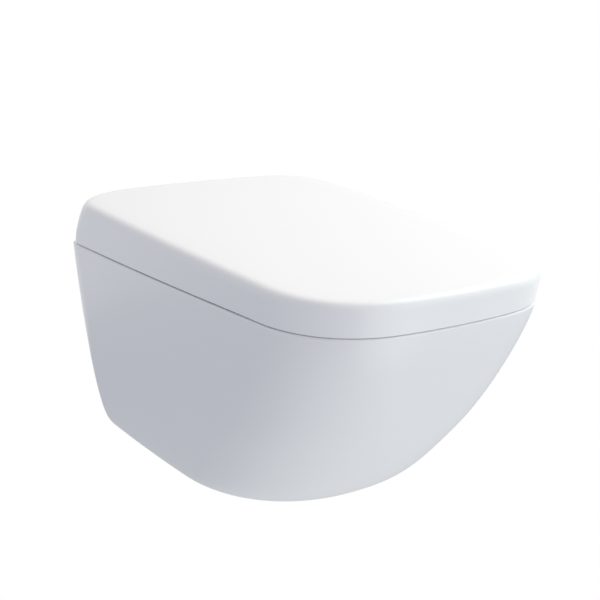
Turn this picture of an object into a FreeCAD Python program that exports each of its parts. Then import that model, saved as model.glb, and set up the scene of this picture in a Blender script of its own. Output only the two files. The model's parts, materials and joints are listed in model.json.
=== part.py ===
import FreeCAD
import Part
import math
import os
import re
import Sketcher

# Wall-hung shower toilet: a ceramic pan, a full-cover lid, a heated seat ring and the
# washing, drying and odour unit that sits in pockets of the pan's rear deck.
# Millimetres. The wall is the plane y = 0 and the pan reaches out along -y, x runs across,
# z is up. The origin is midway between the two wall bolts, on the wall.

Vector = FreeCAD.Vector
doc = FreeCAD.newDocument("shower_toilet")
sheet = doc.addObject("Spreadsheet::Sheet", "dims")

SIZES = {
    # the outline seen from above, shared by rim, lid and seat
    "depth": 585, "back_width": 372, "front_width": 322, "side_bow": 4.9, "front_bow": 20.9,
    "front_corner": 90, "back_corner": 15, "corner_fullness": 0.62,
    "rim_height": 80, "play": 0.3, "pin_play": 0.05,
    # ceramic hull below the rim
    "hull_drop": 268, "bottom_reach": 358, "bottom_width": 287,
    "reach_curve": 1.18, "reach_round": 1.8, "width_curve": 1.12, "width_round": 1.9,
    "corner_growth": 1.1, "ease_depth": 28, "ease_inset": 4.5, "pan_wall": 12, "back_wall": 14,
    "deck": 14, "rim_round": 2.5,
    # bowl
    "bowl_back": 140, "bowl_front_rim": 55, "bowl_back_width": 208, "bowl_front_width": 224,
    "bowl_side_bow": 28, "bowl_front_bow": 45, "bowl_corner": 100, "bowl_back_corner": 50,
    "bowl_back_corner_in": 22, "bowl_drop": 238, "bowl_wall": 9,
    "sump_back": 240, "sump_reach": 330, "sump_width": 76,
    # water ways, measured down from the rim
    "outlet_drop": 180, "outlet_bore": 90, "outlet_wall": 6, "outlet_groove": 11,
    "outlet_length": 40, "inlet_drop": 45, "inlet_bore": 55, "inlet_depth": 45, "inlet_way": 47,
    "trap_bore": 64,
    "trap_crest_drop": 115, "trap_crest_back": 140, "seal_bottom_drop": 206,
    # wall fixing
    "bolt_spacing": 180, "anchor_width": 30, "anchor_length": 44, "bolt_bore": 12.4,
    "clamp_screw": 8,
    # pockets in the deck and the tubs that hang in them
    "tub_near": 50, "tub_side": 28, "tub_back": 27, "tub_front": 123, "tub_drop": 50,
    "tub_wall": 2, "pocket_gap": 3, "supply_offset": 120, "supply_drop": 30,
    "supply_hole": 34, "supply_thread": 20.8, "port_neck": 18, "cable_hole": 22,
    # deck unit
    "plate": 4, "plate_back": 6, "plate_front": 148, "plate_nose": 162, "unit_back": 26,
    "unit_front": 165, "unit_step": 132, "unit_side": 14, "unit_nose_half": 138,
    "unit_top": 46, "unit_nose_top": 36, "unit_slope_back": 108, "unit_slope_front": 140,
    "cover_wall": 2.5,
    # lid
    "seam": 2, "lid_back_height": 62, "lid_front_height": 33, "lid_crown_back": 10,
    "lid_crown_front": 6, "crown_over": 14, "lid_wall": 3.5, "lid_round": 5.5,
    "lid_flare_side": 4.5, "lid_flare_front": 18, "lid_lean_back": 24, "lid_back_corner": 26,
    "lid_back_corner_top": 125, "lid_top_height": 100, "liner": 2.5, "liner_back": 32,
    "lid_axis_back": 16, "lid_axis_up": 54.5, "lid_pin": 8, "lug_near": 108, "lug_far": 126,
    "lug_round": 7, "hinge_gap": 2, "ear": 8, "bumper_width": 12, "bumper": 2.4,
    # seat
    "seat_inset": 9.5, "seat_back": 168, "seat_foot": 6, "seat_front_top": 26,
    "seat_back_top": 38, "seat_crown": 1.5, "seat_wall": 3, "seat_round": 8,
    "ring_back": 50, "ring_front": 63.5, "hole_width": 212, "seat_axis_back": 150,
    "seat_axis_up": 24, "seat_pin": 10, "ear_gap": 3, "ear_width": 16, "ear_round": 11,
    "heater": 0.6,
    # wand and its drive
    "wand_slope": 16, "wand_exit_back": 182, "wand_exit_drop": 6.1, "wand_width": 11,
    "wand_length": 132, "wand_stroke": 86, "rack_base": 1.6, "rack_start": 28,
    "module": 1, "teeth": 12, "backlash": 0.15, "rack_addendum": 0.7, "rack_thick": 5,
    "pinion_back": 40, "pinion_thick": 4.4, "shaft_width": 5, "motor_width": 26,
    "motor_length": 19, "motor_offset": 8, "guide_width": 22, "guide_under": 7.2,
    "guide_start": 52, "guide_end": 120, "guide_room_back": 118,
    # nozzle bay under the seat's rear edge
    "bay_half": 80, "bay_front": 179, "bay_drop": 16, "bay_top": 5, "bay_wall": 2,
    "vent_near": 42, "vent_far": 74, "vent_drop": 12, "vent_top": 1,
    # warm air and odour
    "duct_wall": 1.6, "blower_near": 30, "blower_grow": 12, "blower_height": 28,
    "blower_offset": 104, "blower_back": 74, "blower_mouth": 24, "blower_inlet": 34,
    "blower_motor": 34, "motor_shaft": 3, "impeller": 50, "impeller_height": 20, "blades": 24,
    "odour_duct": 10, "odour_fan": 26,
    # electrics
    "deck_bolt": 8, "deck_bolt_offset": 30, "deck_bolt_back": 75,
    "control_half": 45, "button_first": 96, "button_pitch": 18, "button_back": 84,
    "button_width": 12,
}
# sizes that follow from the ones above
DERIVED = {
    "bowl_reach": "depth - bowl_front_rim",
    "tub_far": "back_width / 2 - tub_side",
    "unit_half": "back_width / 2 - unit_side",
    "hole_back": "seat_back + ring_back",
    "hole_front": "depth - seat_inset - ring_front",
    "ear_near": "unit_nose_half + ear_gap",
    "ear_far": "unit_nose_half + ear_gap + ear_width",
}
for row, (alias, value) in enumerate(SIZES.items(), start=1):
    sheet.set(f"A{row}", str(value))
    sheet.setAlias(f"A{row}", alias)
for row, (alias, text) in enumerate(DERIVED.items(), start=1):
    sheet.set(f"B{row}", f"={text}")
    sheet.setAlias(f"B{row}", alias)
doc.recompute()
NAMES = {*SIZES, *DERIVED}


def formula(text):
    """The same sum with each size's name pointing at its cell."""
    return re.sub(r"[a-z_]+", lambda word: f"dims.{word[0]}" if word[0] in NAMES else word[0], text)


def size(text):
    return float(sheet.evalExpression(formula(text)))


nodes = []


def node(thing, label):
    thing.Label = label
    nodes.append(thing)
    return thing


# ---- small vocabulary for simple pieces ----

TURNS = {
    "X": FreeCAD.Rotation(Vector(0, 1, 0), 90),
    "Y": FreeCAD.Rotation(Vector(1, 0, 0), -90),
    "Z": FreeCAD.Rotation(),
}


def place(thing, x, y, z):
    for axis, text in zip("xyz", (x, y, z)):
        thing.setExpression(f"Placement.Base.{axis}", formula(text))


def block(name, centre, extent):
    box = doc.addObject("Part::Box", name)
    for side, text in zip(("Length", "Width", "Height"), extent):
        box.setExpression(side, formula(text))
    place(box, *(f"({middle}) - ({text}) / 2" for middle, text in zip(centre, extent)))
    return box


def slab(name, x, y, z):
    """A box given by its two limits along each axis."""
    spans = (x, y, z)
    centre = [f"(({low}) + ({high})) / 2" for low, high in spans]
    extent = [f"({high}) - ({low})" for low, high in spans]
    return block(name, centre, extent)


def rod(name, centre, radius, length, axis):
    cylinder = doc.addObject("Part::Cylinder", name)
    cylinder.Placement = FreeCAD.Placement(Vector(), TURNS[axis])
    cylinder.setExpression("Radius", formula(radius))
    cylinder.setExpression("Height", formula(length))
    start = list(centre)
    along = "XYZ".index(axis)
    start[along] = f"({centre[along]}) - ({length}) / 2"
    place(cylinder, *start)
    return cylinder


def join(name, *things):
    fused = doc.addObject("Part::MultiFuse", name)
    fused.Shapes = list(things)
    return fused


def group(name, *things):
    together = doc.addObject("Part::Compound", name)
    together.Links = list(things)
    return together


def cut(name, base, *tools):
    result = doc.addObject("Part::Cut", name)
    result.Base = base
    result.Tool = tools[0] if len(tools) == 1 else join(name + "_tools", *tools)
    return result


def overlap(name, *things):
    shared = doc.addObject("Part::MultiCommon", name)
    shared.Shapes = list(things)
    return shared


def solid(name, shape):
    piece = doc.addObject("Part::Feature", name)
    piece.Shape = shape
    return piece


def plane_of(body, role):
    return next(item for item in body.Origin.OriginFeatures if item.Role == role)


def sketch_on(body, name, role):
    sketch = body.newObject("Sketcher::SketchObject", name)
    sketch.AttachmentSupport = [(plane_of(body, role), "")]
    sketch.MapMode = "FlatFace"
    return sketch


def bind(sketch, kind, *parts):
    text = parts[-1]
    number = sketch.addConstraint(Sketcher.Constraint(kind, *parts[:-1], size(text)))
    sketch.setExpression(f"Constraints[{number}]", formula(text))


def polygon(sketch, corners):
    """A closed outline whose corners are each held by two named sums."""
    spots = [Vector(size(across), size(up), 0) for across, up in corners]
    first = sketch.GeometryCount
    count = len(spots)
    for index, spot in enumerate(spots):
        sketch.addGeometry(Part.LineSegment(spot, spots[(index + 1) % count]))
    for index, (across, up) in enumerate(corners):
        line = first + index
        sketch.addConstraint(
            Sketcher.Constraint("Coincident", line, 2, first + (index + 1) % count, 1))
        bind(sketch, "DistanceX", -1, 1, line, 1, across)
        bind(sketch, "DistanceY", -1, 1, line, 1, up)


def pad(body, name, sketch, length, midplane=True):
    feature = body.newObject("PartDesign::Pad", name)
    feature.Profile = sketch
    feature.Midplane = midplane
    feature.setExpression("Length", formula(length))
    return feature


def pocket(body, name, sketch, length, midplane=True):
    feature = body.newObject("PartDesign::Pocket", name)
    feature.Profile = sketch
    feature.Midplane = midplane
    feature.setExpression("Length", formula(length))
    return feature


def up(text):
    """A height above the rim, as a sum in the part's own frame."""
    return f"rim_height + ({text})"


# ---- curves shared by rim, hull, bowl, lid and seat ----

def bezier(points):
    curve = Part.BezierCurve()
    curve.setPoles(points)
    return curve.toShape()


def arc_part(first, middle, last, start, end):
    """Poles of one stretch of the parabola with these three poles."""
    def blend(one, two):
        return (first * ((1 - one) * (1 - two)) + middle * ((1 - one) * two + (1 - two) * one)
                + last * (one * two))
    return [blend(start, start), blend(start, end), blend(end, end)]


def corner_poles(before, after, fullness):
    """A cubic that leaves one stretch and meets the next, both along their tangents."""
    start, end = before[-1], after[0]
    leave, arrive = before[-1] - before[-2], after[0] - after[1]
    cross = leave.x * arrive.y - leave.y * arrive.x
    gap = end - start
    share = (gap.x * arrive.y - gap.y * arrive.x) / cross
    tip = start + leave * share
    return [start, start + (tip - start) * fullness, end + (tip - end) * fullness, end]


def eased_poles(before, after):
    """A curve that leaves one stretch along its tangent and runs straight to the next."""
    start, end = before[-1], after[0]
    leave = (before[-1] - before[-2]).normalize()
    return [start, start + leave * (end - start).Length * 0.5, end]


def plan(height, back, reach, half_back, half_front, side_bow, front_bow,
         front_corner, back_along, back_across, fullness, soft_back=True):
    """The outline seen from above: straight back, bowed sides and front, soft corners."""
    shoulder = -(reach - front_bow)
    back_left = Vector(-half_back, back, height)
    front_left = Vector(-half_front, shoulder, height)
    front_right = Vector(half_front, shoulder, height)
    run = back - shoulder
    side = arc_part(back_left, (back_left + front_left) * 0.5 - Vector(2 * side_bow, 0, 0),
                    front_left, back_along / run, 1 - front_corner / run)
    bend = front_corner / (2 * half_front)
    front = arc_part(front_left, Vector(0, shoulder - 2 * front_bow, height), front_right,
                     bend, 1 - bend)
    other_side = [Vector(-spot.x, spot.y, spot.z) for spot in reversed(side)]
    rear = [Vector(half_back - back_across, back, height),
            Vector(back_across - half_back, back, height)]
    corners = [corner_poles(side, front, fullness), corner_poles(front, other_side, fullness)]
    if soft_back:
        corners.append(corner_poles(other_side, rear, fullness))
        corners.append(corner_poles(rear, side, fullness))
    else:
        corners.append(eased_poles(other_side, rear))
        corners.append(list(reversed(eased_poles(list(reversed(side)), list(reversed(rear))))))
    edges = []
    for stretch, corner in zip((side, front, other_side, rear), corners):
        edges += [bezier(stretch), bezier(corner)]
    return Part.Wire(edges)


def fade(share, curve, roundness):
    return (1 - share ** curve) ** (1 / roundness)


def between(low, high, share):
    return low + (high - low) * share


# ---- ceramic pan ----

HULL_STEPS = 9
BOWL_STEPS = 6


def hull(inset):
    """The pan's outside, cut flat at the wall, or the same form drawn in by a wall."""
    rim = size("rim_height")
    back = -size("back_wall") if inset else 1
    sections = []
    for step in range(HULL_STEPS):
        swing = math.sin(math.radians(90) * step / (HULL_STEPS - 1))
        share = swing ** (2 / size("reach_curve"))
        reach = between(size("bottom_reach"), size("depth"),
                        fade(share, size("reach_curve"), size("reach_round")))
        wide = fade(share, size("width_curve"), size("width_round"))
        half = between(size("bottom_width"), size("back_width"), wide) / 2 - inset
        slim = size("front_width") / size("back_width")
        length_share = fade(share, size("reach_curve"), size("reach_round"))
        corner = size("front_corner") * (1 + size("corner_growth") * (1 - length_share))
        sections.append(plan(
            rim - share * (size("hull_drop") - inset), back, reach - inset, half, half * slim,
            size("side_bow"), size("front_bow") * slim, min(corner, half * slim * 0.95),
            size("ease_depth"), size("ease_inset"), size("corner_fullness"), False))
    before_wall = box_between((-size("back_width"), size("back_width")), (-2 * size("depth"), 0),
                              (rim - 2 * size("hull_drop"), rim + 1))
    return Part.makeLoft(sections, True, False).common(before_wall)


def bowl(grow):
    """The inside of the bowl, or the same form let out by its wall."""
    sections = []
    for step in range(BOWL_STEPS):
        swing = math.sin(math.radians(90) * step / (BOWL_STEPS - 1))
        share = swing ** 1.25
        full = fade(share, 1.6, 1.7)
        half_back = between(size("sump_width"), size("bowl_back_width"), full) / 2 + grow
        half_front = between(size("sump_width"), size("bowl_front_width"), full) / 2 + grow
        back = between(size("sump_back"), size("bowl_back"), full) - grow
        reach = between(size("sump_reach"), size("bowl_reach"), full) + grow
        length = (reach - back) / (size("bowl_reach") - size("bowl_back"))
        corner = min(size("bowl_corner") * length, half_front * 0.95)
        sections.append(plan(
            size("rim_height") - share * (size("bowl_drop") + grow), -back, reach,
            half_back, half_front, size("bowl_side_bow") * length,
            size("bowl_front_bow") * length, corner,
            size("bowl_back_corner") * length, size("bowl_back_corner_in") * length, 0.56))
    return Part.makeLoft(sections, True, False)


def trap(grow):
    """The siphon from the sump over its crest and down to the outlet."""
    wide = size("trap_bore / 2") + grow
    mouth = size("outlet_bore / 2") + grow
    crest = Vector(0, -size("trap_crest_back"), -size("trap_crest_drop"))
    stations = [
        (Vector(0, -size("sump_reach - 45"), -size("seal_bottom_drop")), 0, wide * 0.9),
        (Vector(0, -size("sump_back"), -size("seal_bottom_drop - 6")), 25, wide),
        (crest + Vector(0, -52, -46), 52, wide),
        (crest, 0, wide),
        (crest + Vector(0, 48, -26), -42, between(wide, mouth, 0.4)),
        (Vector(0, -52, -size("outlet_drop - 3")), -18, between(wide, mouth, 0.85)),
        (Vector(0, -size("outlet_length - 12"), -size("outlet_drop")), 0, mouth),
        (Vector(0, 0, -size("outlet_drop")), 0, mouth),
    ]
    rings = []
    for spot, climb, radius in stations:
        ahead = Vector(0, math.cos(math.radians(climb)), math.sin(math.radians(climb)))
        middle = spot + Vector(0, 0, size("rim_height"))
        rings.append(Part.Wire(Part.Circle(middle, ahead, radius).toShape()))
    return Part.makeLoft(rings, True, False)


def cylinder_along_y(radius, start, end, x, z):
    return Part.makeCylinder(radius, start - end, Vector(x, end, z), Vector(0, 1, 0))


def both_sides(make):
    return [make(side) for side in (-1, 1)]


def box_between(x, y, z):
    low = Vector(min(x), min(y), min(z))
    return Part.makeBox(abs(x[1] - x[0]), abs(y[1] - y[0]), abs(z[1] - z[0]), low)


def pocket_box(side, grow, below):
    gap = size("pocket_gap") + grow
    rim = size("rim_height")
    return box_between((side * (size("tub_near") - gap), side * (size("tub_far") + gap)),
                       (-size("tub_back") + gap, -size("tub_front") - gap),
                       (rim - size("tub_drop") - gap - below, rim + 1 - grow))


def round_top(shape, radius):
    """Soften the top edge all round, apart from a straight edge against the wall."""
    top = max(shape.Faces, key=lambda face: face.CenterOfMass.z)
    edges = [edge for edge in top.Edges if edge.BoundBox.YLength > 0.01]
    return shape.makeFillet(radius, edges)


def make_pan():
    rim = size("rim_height")
    outlet_z = rim - size("outlet_drop")
    inlet_z = rim - size("inlet_drop")
    anchor_half = size("anchor_width") / 2 + size("play")
    outer = hull(0)
    hollow = hull(size("pan_wall")).common(
        box_between((-400, 400), (-900, 0), (rim - 900, rim - size("deck"))))
    shell = round_top(outer, size("rim_round")).cut(hollow)
    stub = size("outlet_bore") / 2 + size("outlet_wall")
    groove = stub + size("outlet_groove")
    outlet_depth = size("outlet_length")
    added = [bowl(size("bowl_wall")), trap(size("bowl_wall")),
             cylinder_along_y(groove + size("bowl_wall"), 0, -outlet_depth - 10, 0, outlet_z),
             cylinder_along_y(size("inlet_bore") / 2 + size("bowl_wall"), 0,
                              -size("bowl_back"), 0, inlet_z)]
    added += both_sides(lambda side: pocket_box(side, size("bowl_wall") - 1, 0))
    added += both_sides(lambda side: cylinder_along_y(
        anchor_half + size("bowl_wall"), 0, -size("anchor_length") - size("bowl_wall"),
        side * size("bolt_spacing") / 2, 0))
    body = shell.fuse([piece.common(outer) for piece in added])
    ring = cylinder_along_y(groove, 0, -outlet_depth, 0, outlet_z).cut(
        cylinder_along_y(stub, 0, -outlet_depth, 0, outlet_z))
    removed = [bowl(0), trap(0), ring,
               cylinder_along_y(size("inlet_bore") / 2, 0, -size("inlet_depth"), 0, inlet_z),
               cylinder_along_y(size("inlet_way") / 2, 0, -size("bowl_back") - 12, 0, inlet_z),
               cylinder_along_y(size("supply_hole") / 2, 0, -size("tub_back"),
                                -size("supply_offset"), rim - size("supply_drop")),
               cylinder_along_y(size("cable_hole") / 2, 0, -size("tub_back"),
                                size("supply_offset"), rim - size("supply_drop"))]
    removed += both_sides(lambda side: pocket_box(side, 0, 0))
    removed += both_sides(lambda side: Part.makeCylinder(
        size("deck_bolt / 2 + play"), 11,
        Vector(side * size("deck_bolt_offset"), -size("deck_bolt_back"), rim - 10.5)))
    removed += both_sides(lambda side: cylinder_along_y(
        anchor_half, 0, -size("anchor_length"), side * size("bolt_spacing") / 2, 0))
    removed += both_sides(lambda side: Part.makeCylinder(
        size("clamp_screw") / 2 + size("play"), size("tub_drop"),
        Vector(side * size("bolt_spacing") / 2, -size("anchor_length") * 0.68, 0)))
    return body.cut(removed)


node(solid("pan", make_pan()), "pan")


def wall_fixings():
    anchors = []
    screws = []
    for side, name in ((-1, "left"), (1, "right")):
        x = f"{side} * bolt_spacing / 2"
        blank = rod(f"anchor_blank_{name}", (x, "(play - anchor_length) / 2", "0"),
                    "anchor_width / 2", "anchor_length - play", "Y")
        bore = rod(f"anchor_bore_{name}", (x, "-anchor_length / 2", "0"), "bolt_bore / 2",
                   "anchor_length", "Y")
        dent = rod(f"anchor_dent_{name}", (x, "-0.68 * anchor_length", "anchor_width / 2"),
                   "clamp_screw / 2 + play", "6", "Z")
        anchors.append(cut(f"anchor_{name}", blank, bore, dent))
        screws.append(rod(f"clamp_{name}", (x, "-0.68 * anchor_length",
                                            "anchor_width / 2 - 2 + 6"),
                          "clamp_screw / 2", "12", "Z"))
    node(group("wall_anchors", *anchors), "wall_anchors")
    node(group("clamp_screws", *screws), "clamp_screws")


wall_fixings()


# ---- lid ----

def seat_dome(drop):
    """Everything under the seat's top face, or under a face lower by a wall."""
    slope = size("(seat_back_top - seat_front_top) / (depth - seat_back)")
    front = size("seat_front_top") - drop
    return below_crown(front, front + slope * size("depth"), size("seat_crown"),
                       size("seat_crown"))


CROWN_SHOULDER = 0.8
LID_STEPS = 3


def below_crown(front_height, back_height, front_crown, back_crown):
    """Everything under a pillowed top face that rises to the back."""
    rim = size("rim_height")
    reach = size("depth")
    over = size("crown_over")
    half = size("back_width") / 2 + over
    edges = []
    for y in (4 * over, -reach - 4 * over):
        share = (y + reach) / reach
        z = rim + between(front_height, back_height, share)
        crown = z + between(front_crown, back_crown, share)
        edges.append(bezier([Vector(-half, y, z), Vector(-half * CROWN_SHOULDER, y, crown),
                             Vector(0, y, crown), Vector(half * CROWN_SHOULDER, y, crown),
                             Vector(half, y, z)]))
    return Part.makeLoft(edges, False, True).extrude(Vector(0, 0, -reach))


def lid_form(inset, drop, foot, open_back):
    """The lid's flared form, drawn in by a wall; an open back runs out past the wall plane."""
    rim = size("rim_height")
    top = size("lid_top_height")
    sections = []
    for step in range(LID_STEPS + 1):
        height = between(foot, top, step / LID_STEPS)
        share = height / top
        swell = max(share, 0) ** 1.5
        wider = size("lid_flare_side") * share - inset
        corner = size("back_corner") if open_back else between(
            size("lid_back_corner"), size("lid_back_corner_top"), swell)
        sections.append(plan(
            rim + height, size("liner_back") if open_back else -size("lid_lean_back") * swell,
            size("depth") + size("lid_flare_front") * share - inset,
            size("back_width") / 2 + wider, size("front_width") / 2 + wider, size("side_bow"),
            size("front_bow"), size("front_corner") - inset, corner, corner,
            size("corner_fullness")))
    dome = below_crown(size("lid_front_height") - drop, size("lid_back_height") - drop,
                       size("lid_crown_front"), size("lid_crown_back"))
    return Part.makeLoft(sections, True, False).common(dome)


def lid_lug_box(side):
    round_ = size("lug_round")
    axis_y = -size("lid_axis_back")
    axis_z = size("rim_height + lid_axis_up")
    near, far = size("lug_near"), size("lug_far")
    lug = box_between((side * near, side * far), (axis_y - round_ - 8, axis_y + round_),
                      (axis_z, axis_z + 30))
    hub = Part.makeCylinder(round_, far - near, Vector(min(side * near, side * far), axis_y, axis_z),
                            Vector(1, 0, 0))
    bore = Part.makeCylinder(size("lid_pin / 2 + pin_play"), far - near,
                             Vector(min(side * near, side * far), axis_y, axis_z),
                             Vector(1, 0, 0))
    return lug.fuse(hub).cut(bore)


def make_lid():
    wall = size("lid_wall")
    outer = round_top(lid_form(0, 0, size("seam"), False), size("lid_round"))
    inner = round_top(lid_form(wall, wall, -5, True), size("lid_round") - wall)
    node(solid("lid_shell", outer.cut(inner)), "lid_shell")
    gap = wall + size("play")
    room = round_top(lid_form(gap, gap, -5, True), size("lid_round") - wall)
    below = below_crown(size("lid_front_height") - gap - size("liner"),
                        size("lid_back_height") - gap - size("liner"),
                        size("lid_crown_front"), size("lid_crown_back"))
    wide = size("back_width")
    front = box_between((-wide, wide), (-2 * size("depth"), -size("liner_back")),
                        (0, 2 * wide))
    node(solid("lid_liner", room.cut(below).common(front)), "lid_liner")
    solid("pad_room", below.cut(seat_dome(-size("play"))))
    under_top = lid_form(wall, wall, -5, True)
    lugs = both_sides(lambda side: lid_lug_box(side).common(under_top))
    node(solid("lid_hinge_lugs", Part.makeCompound(lugs)), "lid_hinge_lugs")


make_lid()


# ---- heated seat ----

def rim_half_width(distance):
    """Half the outline's width at a distance from the wall."""
    share = distance / (size("depth") - size("front_bow"))
    return (between(size("back_width"), size("front_width"), share) / 2
            + 4 * size("side_bow") * share * (1 - share))


def seat_form(inset, drop, foot, grow_hole):
    """The seat ring, or the same ring drawn in all round by a wall."""
    rim = size("rim_height")
    over = 60
    edge = size("seat_inset") + inset
    back = size("seat_back")
    run = (size("depth") - size("front_bow") - back) / (size("depth") - size("front_bow"))
    outlines = [
        plan(rim + height, -back - inset, size("depth") - edge - lean,
             rim_half_width(back) - edge - lean * 0.3, size("front_width") / 2 - edge - lean,
             size("side_bow") * run ** 2, size("front_bow"), size("front_corner") - edge,
             14, 14, size("corner_fullness"))
        for height, lean in ((foot, 0), (over, 3))]
    half = size("hole_width") / 2 + grow_hole
    length = size("hole_front") - size("hole_back")
    holes = [
        plan(rim + height, -size("hole_back") + grow_hole + more,
             size("hole_front") + grow_hole + more, half * 0.78 + more, half * 0.8 + more,
             half * 0.21, length * 0.14, half * 0.72, length * 0.2, half * 0.4, 0.56)
        for height, more in ((foot - 1, 0), (over, 8))]
    ring = Part.makeLoft(outlines, True, True).cut(Part.makeLoft(holes, True, True))
    return ring.common(seat_dome(drop))


def seat_ear(side, grow):
    """A hinge ear with its hub round the seat's axis and its arm under the ring."""
    near, far = size("ear_near") - grow, size("ear_far") + grow
    axis_y = -size("seat_axis_back")
    axis_z = size("rim_height + seat_axis_up")
    start = Vector(min(side * near, side * far), axis_y, axis_z)
    hub = Part.makeCylinder(size("ear_round") + grow, far - near, start, Vector(1, 0, 0))
    foot = size("rim_height + seat_foot") + size("play")
    arm = box_between((side * near, side * far), (axis_y - 3, -size("seat_back") - 14),
                      (foot - grow * 2, axis_z + grow))
    return hub.fuse(arm)


def make_seat():
    wall = size("seat_wall")
    foot = size("seat_foot")
    play = size("play")
    outer = round_top(seat_form(0, 0, foot, 0), size("seat_round"))
    inner = seat_form(wall, wall, foot - 1, wall)
    notches = both_sides(lambda side: seat_ear(side, play))
    node(solid("seat_top", outer.cut([inner] + notches)), "seat_top")
    rim = size("rim_height")
    wide = size("back_width")
    plate_limit = box_between((-wide, wide), (-2 * size("depth"), 0), (rim, rim + foot + wall))
    base = seat_form(wall + play, wall + play, foot, wall + play).common(plate_limit)
    ears = both_sides(lambda side: seat_ear(side, 0))
    pin_bore = Part.makeCylinder(
        size("seat_pin / 2 + pin_play"), 2 * wide,
        Vector(-wide, -size("seat_axis_back"), rim + size("seat_axis_up")), Vector(1, 0, 0))
    node(solid("seat_base", base.fuse(ears).cut(pin_bore)), "seat_base")
    sheet_top = seat_form(wall * 2, wall + play, foot + wall + 1, wall * 2)
    sheet_low = seat_form(wall, wall + play + size("heater"), foot - 2, wall)
    node(solid("seat_heater_foil", sheet_top.cut(sheet_low)), "seat_heater_foil")


make_seat()


# ---- bumpers, hinge shaft and pins ----

def bumpers():
    lid_pads = []
    seat_pads = []
    for side in (-1, 1):
        for name, back in (("rear", "seat_back + 62"), ("front", "depth - 120")):
            label = f"{name}_{'left' if side < 0 else 'right'}"
            x = f"{side} * (hole_width / 2 + 30)"
            lid_pads.append(slab(f"lid_pad_{label}",
                                 (f"{x} - bumper_width / 2", f"{x} + bumper_width / 2"),
                                 (f"-({back}) - bumper_width", f"-({back}) + bumper_width"),
                                 (up("seat_front_top"), up("lid_back_height"))))
            seat_pads.append(block(f"seat_pad_{label}",
                                   (x, f"-({back})", up("(seat_foot + play) / 2")),
                                   ("bumper_width", "bumper_width * 2", "seat_foot - play")))
    pads = [overlap(f"{pad.Name}_fitted", pad, doc.getObject("pad_room")) for pad in lid_pads]
    node(group("lid_bumpers", *pads), "lid_bumpers")
    node(group("seat_bumpers", *seat_pads), "seat_bumpers")


def lid_hinge():
    axis = ("-lid_axis_back", up("lid_axis_up"))
    node(rod("lid_hinge_shaft", ("0", *axis), "lid_pin / 2",
             "2 * (lug_far + hinge_gap + ear + 4)", "X"), "lid_hinge_shaft")
    brackets = []
    for side, name in ((-1, "left"), (1, "right")):
        ears = []
        for spot, x in (("outer", "lug_far + hinge_gap + ear / 2"),
                        ("inner", "lug_near - hinge_gap - ear / 2")):
            ears.append(rod(f"lid_ear_round_{spot}_{name}", (f"{side} * ({x})", *axis),
                            "lug_round", "ear", "X"))
            ears.append(slab(f"lid_ear_post_{spot}_{name}",
                             (f"{side} * ({x}) - ear / 2", f"{side} * ({x}) + ear / 2"),
                             ("-lid_axis_back - lug_round", "-lid_axis_back + lug_round"),
                             (up("plate"), up("lid_axis_up"))))
        middle = f"{side} * (lug_near + lug_far) / 2"
        ears.append(slab(f"lid_ear_foot_{name}",
                         (f"{middle} - (lug_far - lug_near) / 2 - hinge_gap - ear",
                          f"{middle} + (lug_far - lug_near) / 2 + hinge_gap + ear"),
                         ("-lid_axis_back - lug_round", "-lid_axis_back + lug_round"),
                         (up("plate"), up("plate + 8"))))
        bore = rod(f"lid_ear_bore_{name}", (middle, *axis), "lid_pin / 2 + pin_play",
                   "lug_far - lug_near + 4 * ear", "X")
        brackets.append(cut(f"lid_bracket_{name}", join(f"lid_ears_{name}", *ears), bore))
    node(group("lid_hinge_brackets", *brackets), "lid_hinge_brackets")
    barrel = join("lid_damper_barrel",
                  rod("lid_damper_round", ("-lug_near + 52", *axis), "lug_round - 0.5", "70", "X"),
                  slab("lid_damper_post", ("-lug_near + 30", "-lug_near + 74"),
                       ("-lid_axis_back - 5", "-lid_axis_back + 5"),
                       (up("plate"), up("lid_axis_up"))))
    node(cut("lid_damper", barrel,
             rod("lid_damper_bore", ("-lug_near + 52", *axis), "lid_pin / 2 + pin_play",
                 "80", "X")), "lid_damper")


def seat_hinge():
    axis = ("-seat_axis_back", up("seat_axis_up"))
    pins = []
    brackets = []
    for side, name in ((-1, "left"), (1, "right")):
        near = f"{side} * (unit_nose_half - cover_wall - 16)"
        far = f"{side} * (ear_far + 1)"
        pins.append(rod(f"seat_pin_{name}", (f"(({near}) + ({far})) / 2", *axis),
                        "seat_pin / 2", "ear_far - unit_nose_half + cover_wall + 17", "X"))
        x = f"{side} * (unit_nose_half - cover_wall - 7)"
        round_end = rod(f"seat_bracket_round_{name}", (x, *axis), "seat_pin / 2 + 3", "10", "X")
        web = slab(f"seat_bracket_web_{name}", (f"{x} - 5", f"{x} + 5"),
                   ("-seat_axis_back - seat_pin / 2 - 3", "-seat_axis_back + seat_pin / 2 + 3"),
                   (up("plate"), up("seat_axis_up")))
        foot = slab(f"seat_bracket_foot_{name}", (f"{x} - 5", f"{x} + 5"),
                    ("-seat_axis_back - seat_pin / 2 - 3", "-seat_axis_back + 34"),
                    (up("plate"), up("plate + 4")))
        bore = rod(f"seat_bracket_bore_{name}", (x, *axis), "seat_pin / 2 + pin_play",
                   "12", "X")
        brackets.append(cut(f"seat_bracket_{name}",
                            join(f"seat_bracket_blank_{name}", round_end, web, foot), bore))
    node(group("seat_hinge_pins", *pins), "seat_hinge_pins")
    node(group("seat_hinge_brackets", *brackets), "seat_hinge_brackets")
    length = "unit_nose_half - cover_wall - 16 - play - 62"
    node(rod("seat_damper", (f"-62 - ({length}) / 2", *axis), "8", length, "X"), "seat_damper")


bumpers()
lid_hinge()
seat_hinge()


# ---- deck unit: floor plate with its two tubs, cover and nozzle bay ----

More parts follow.
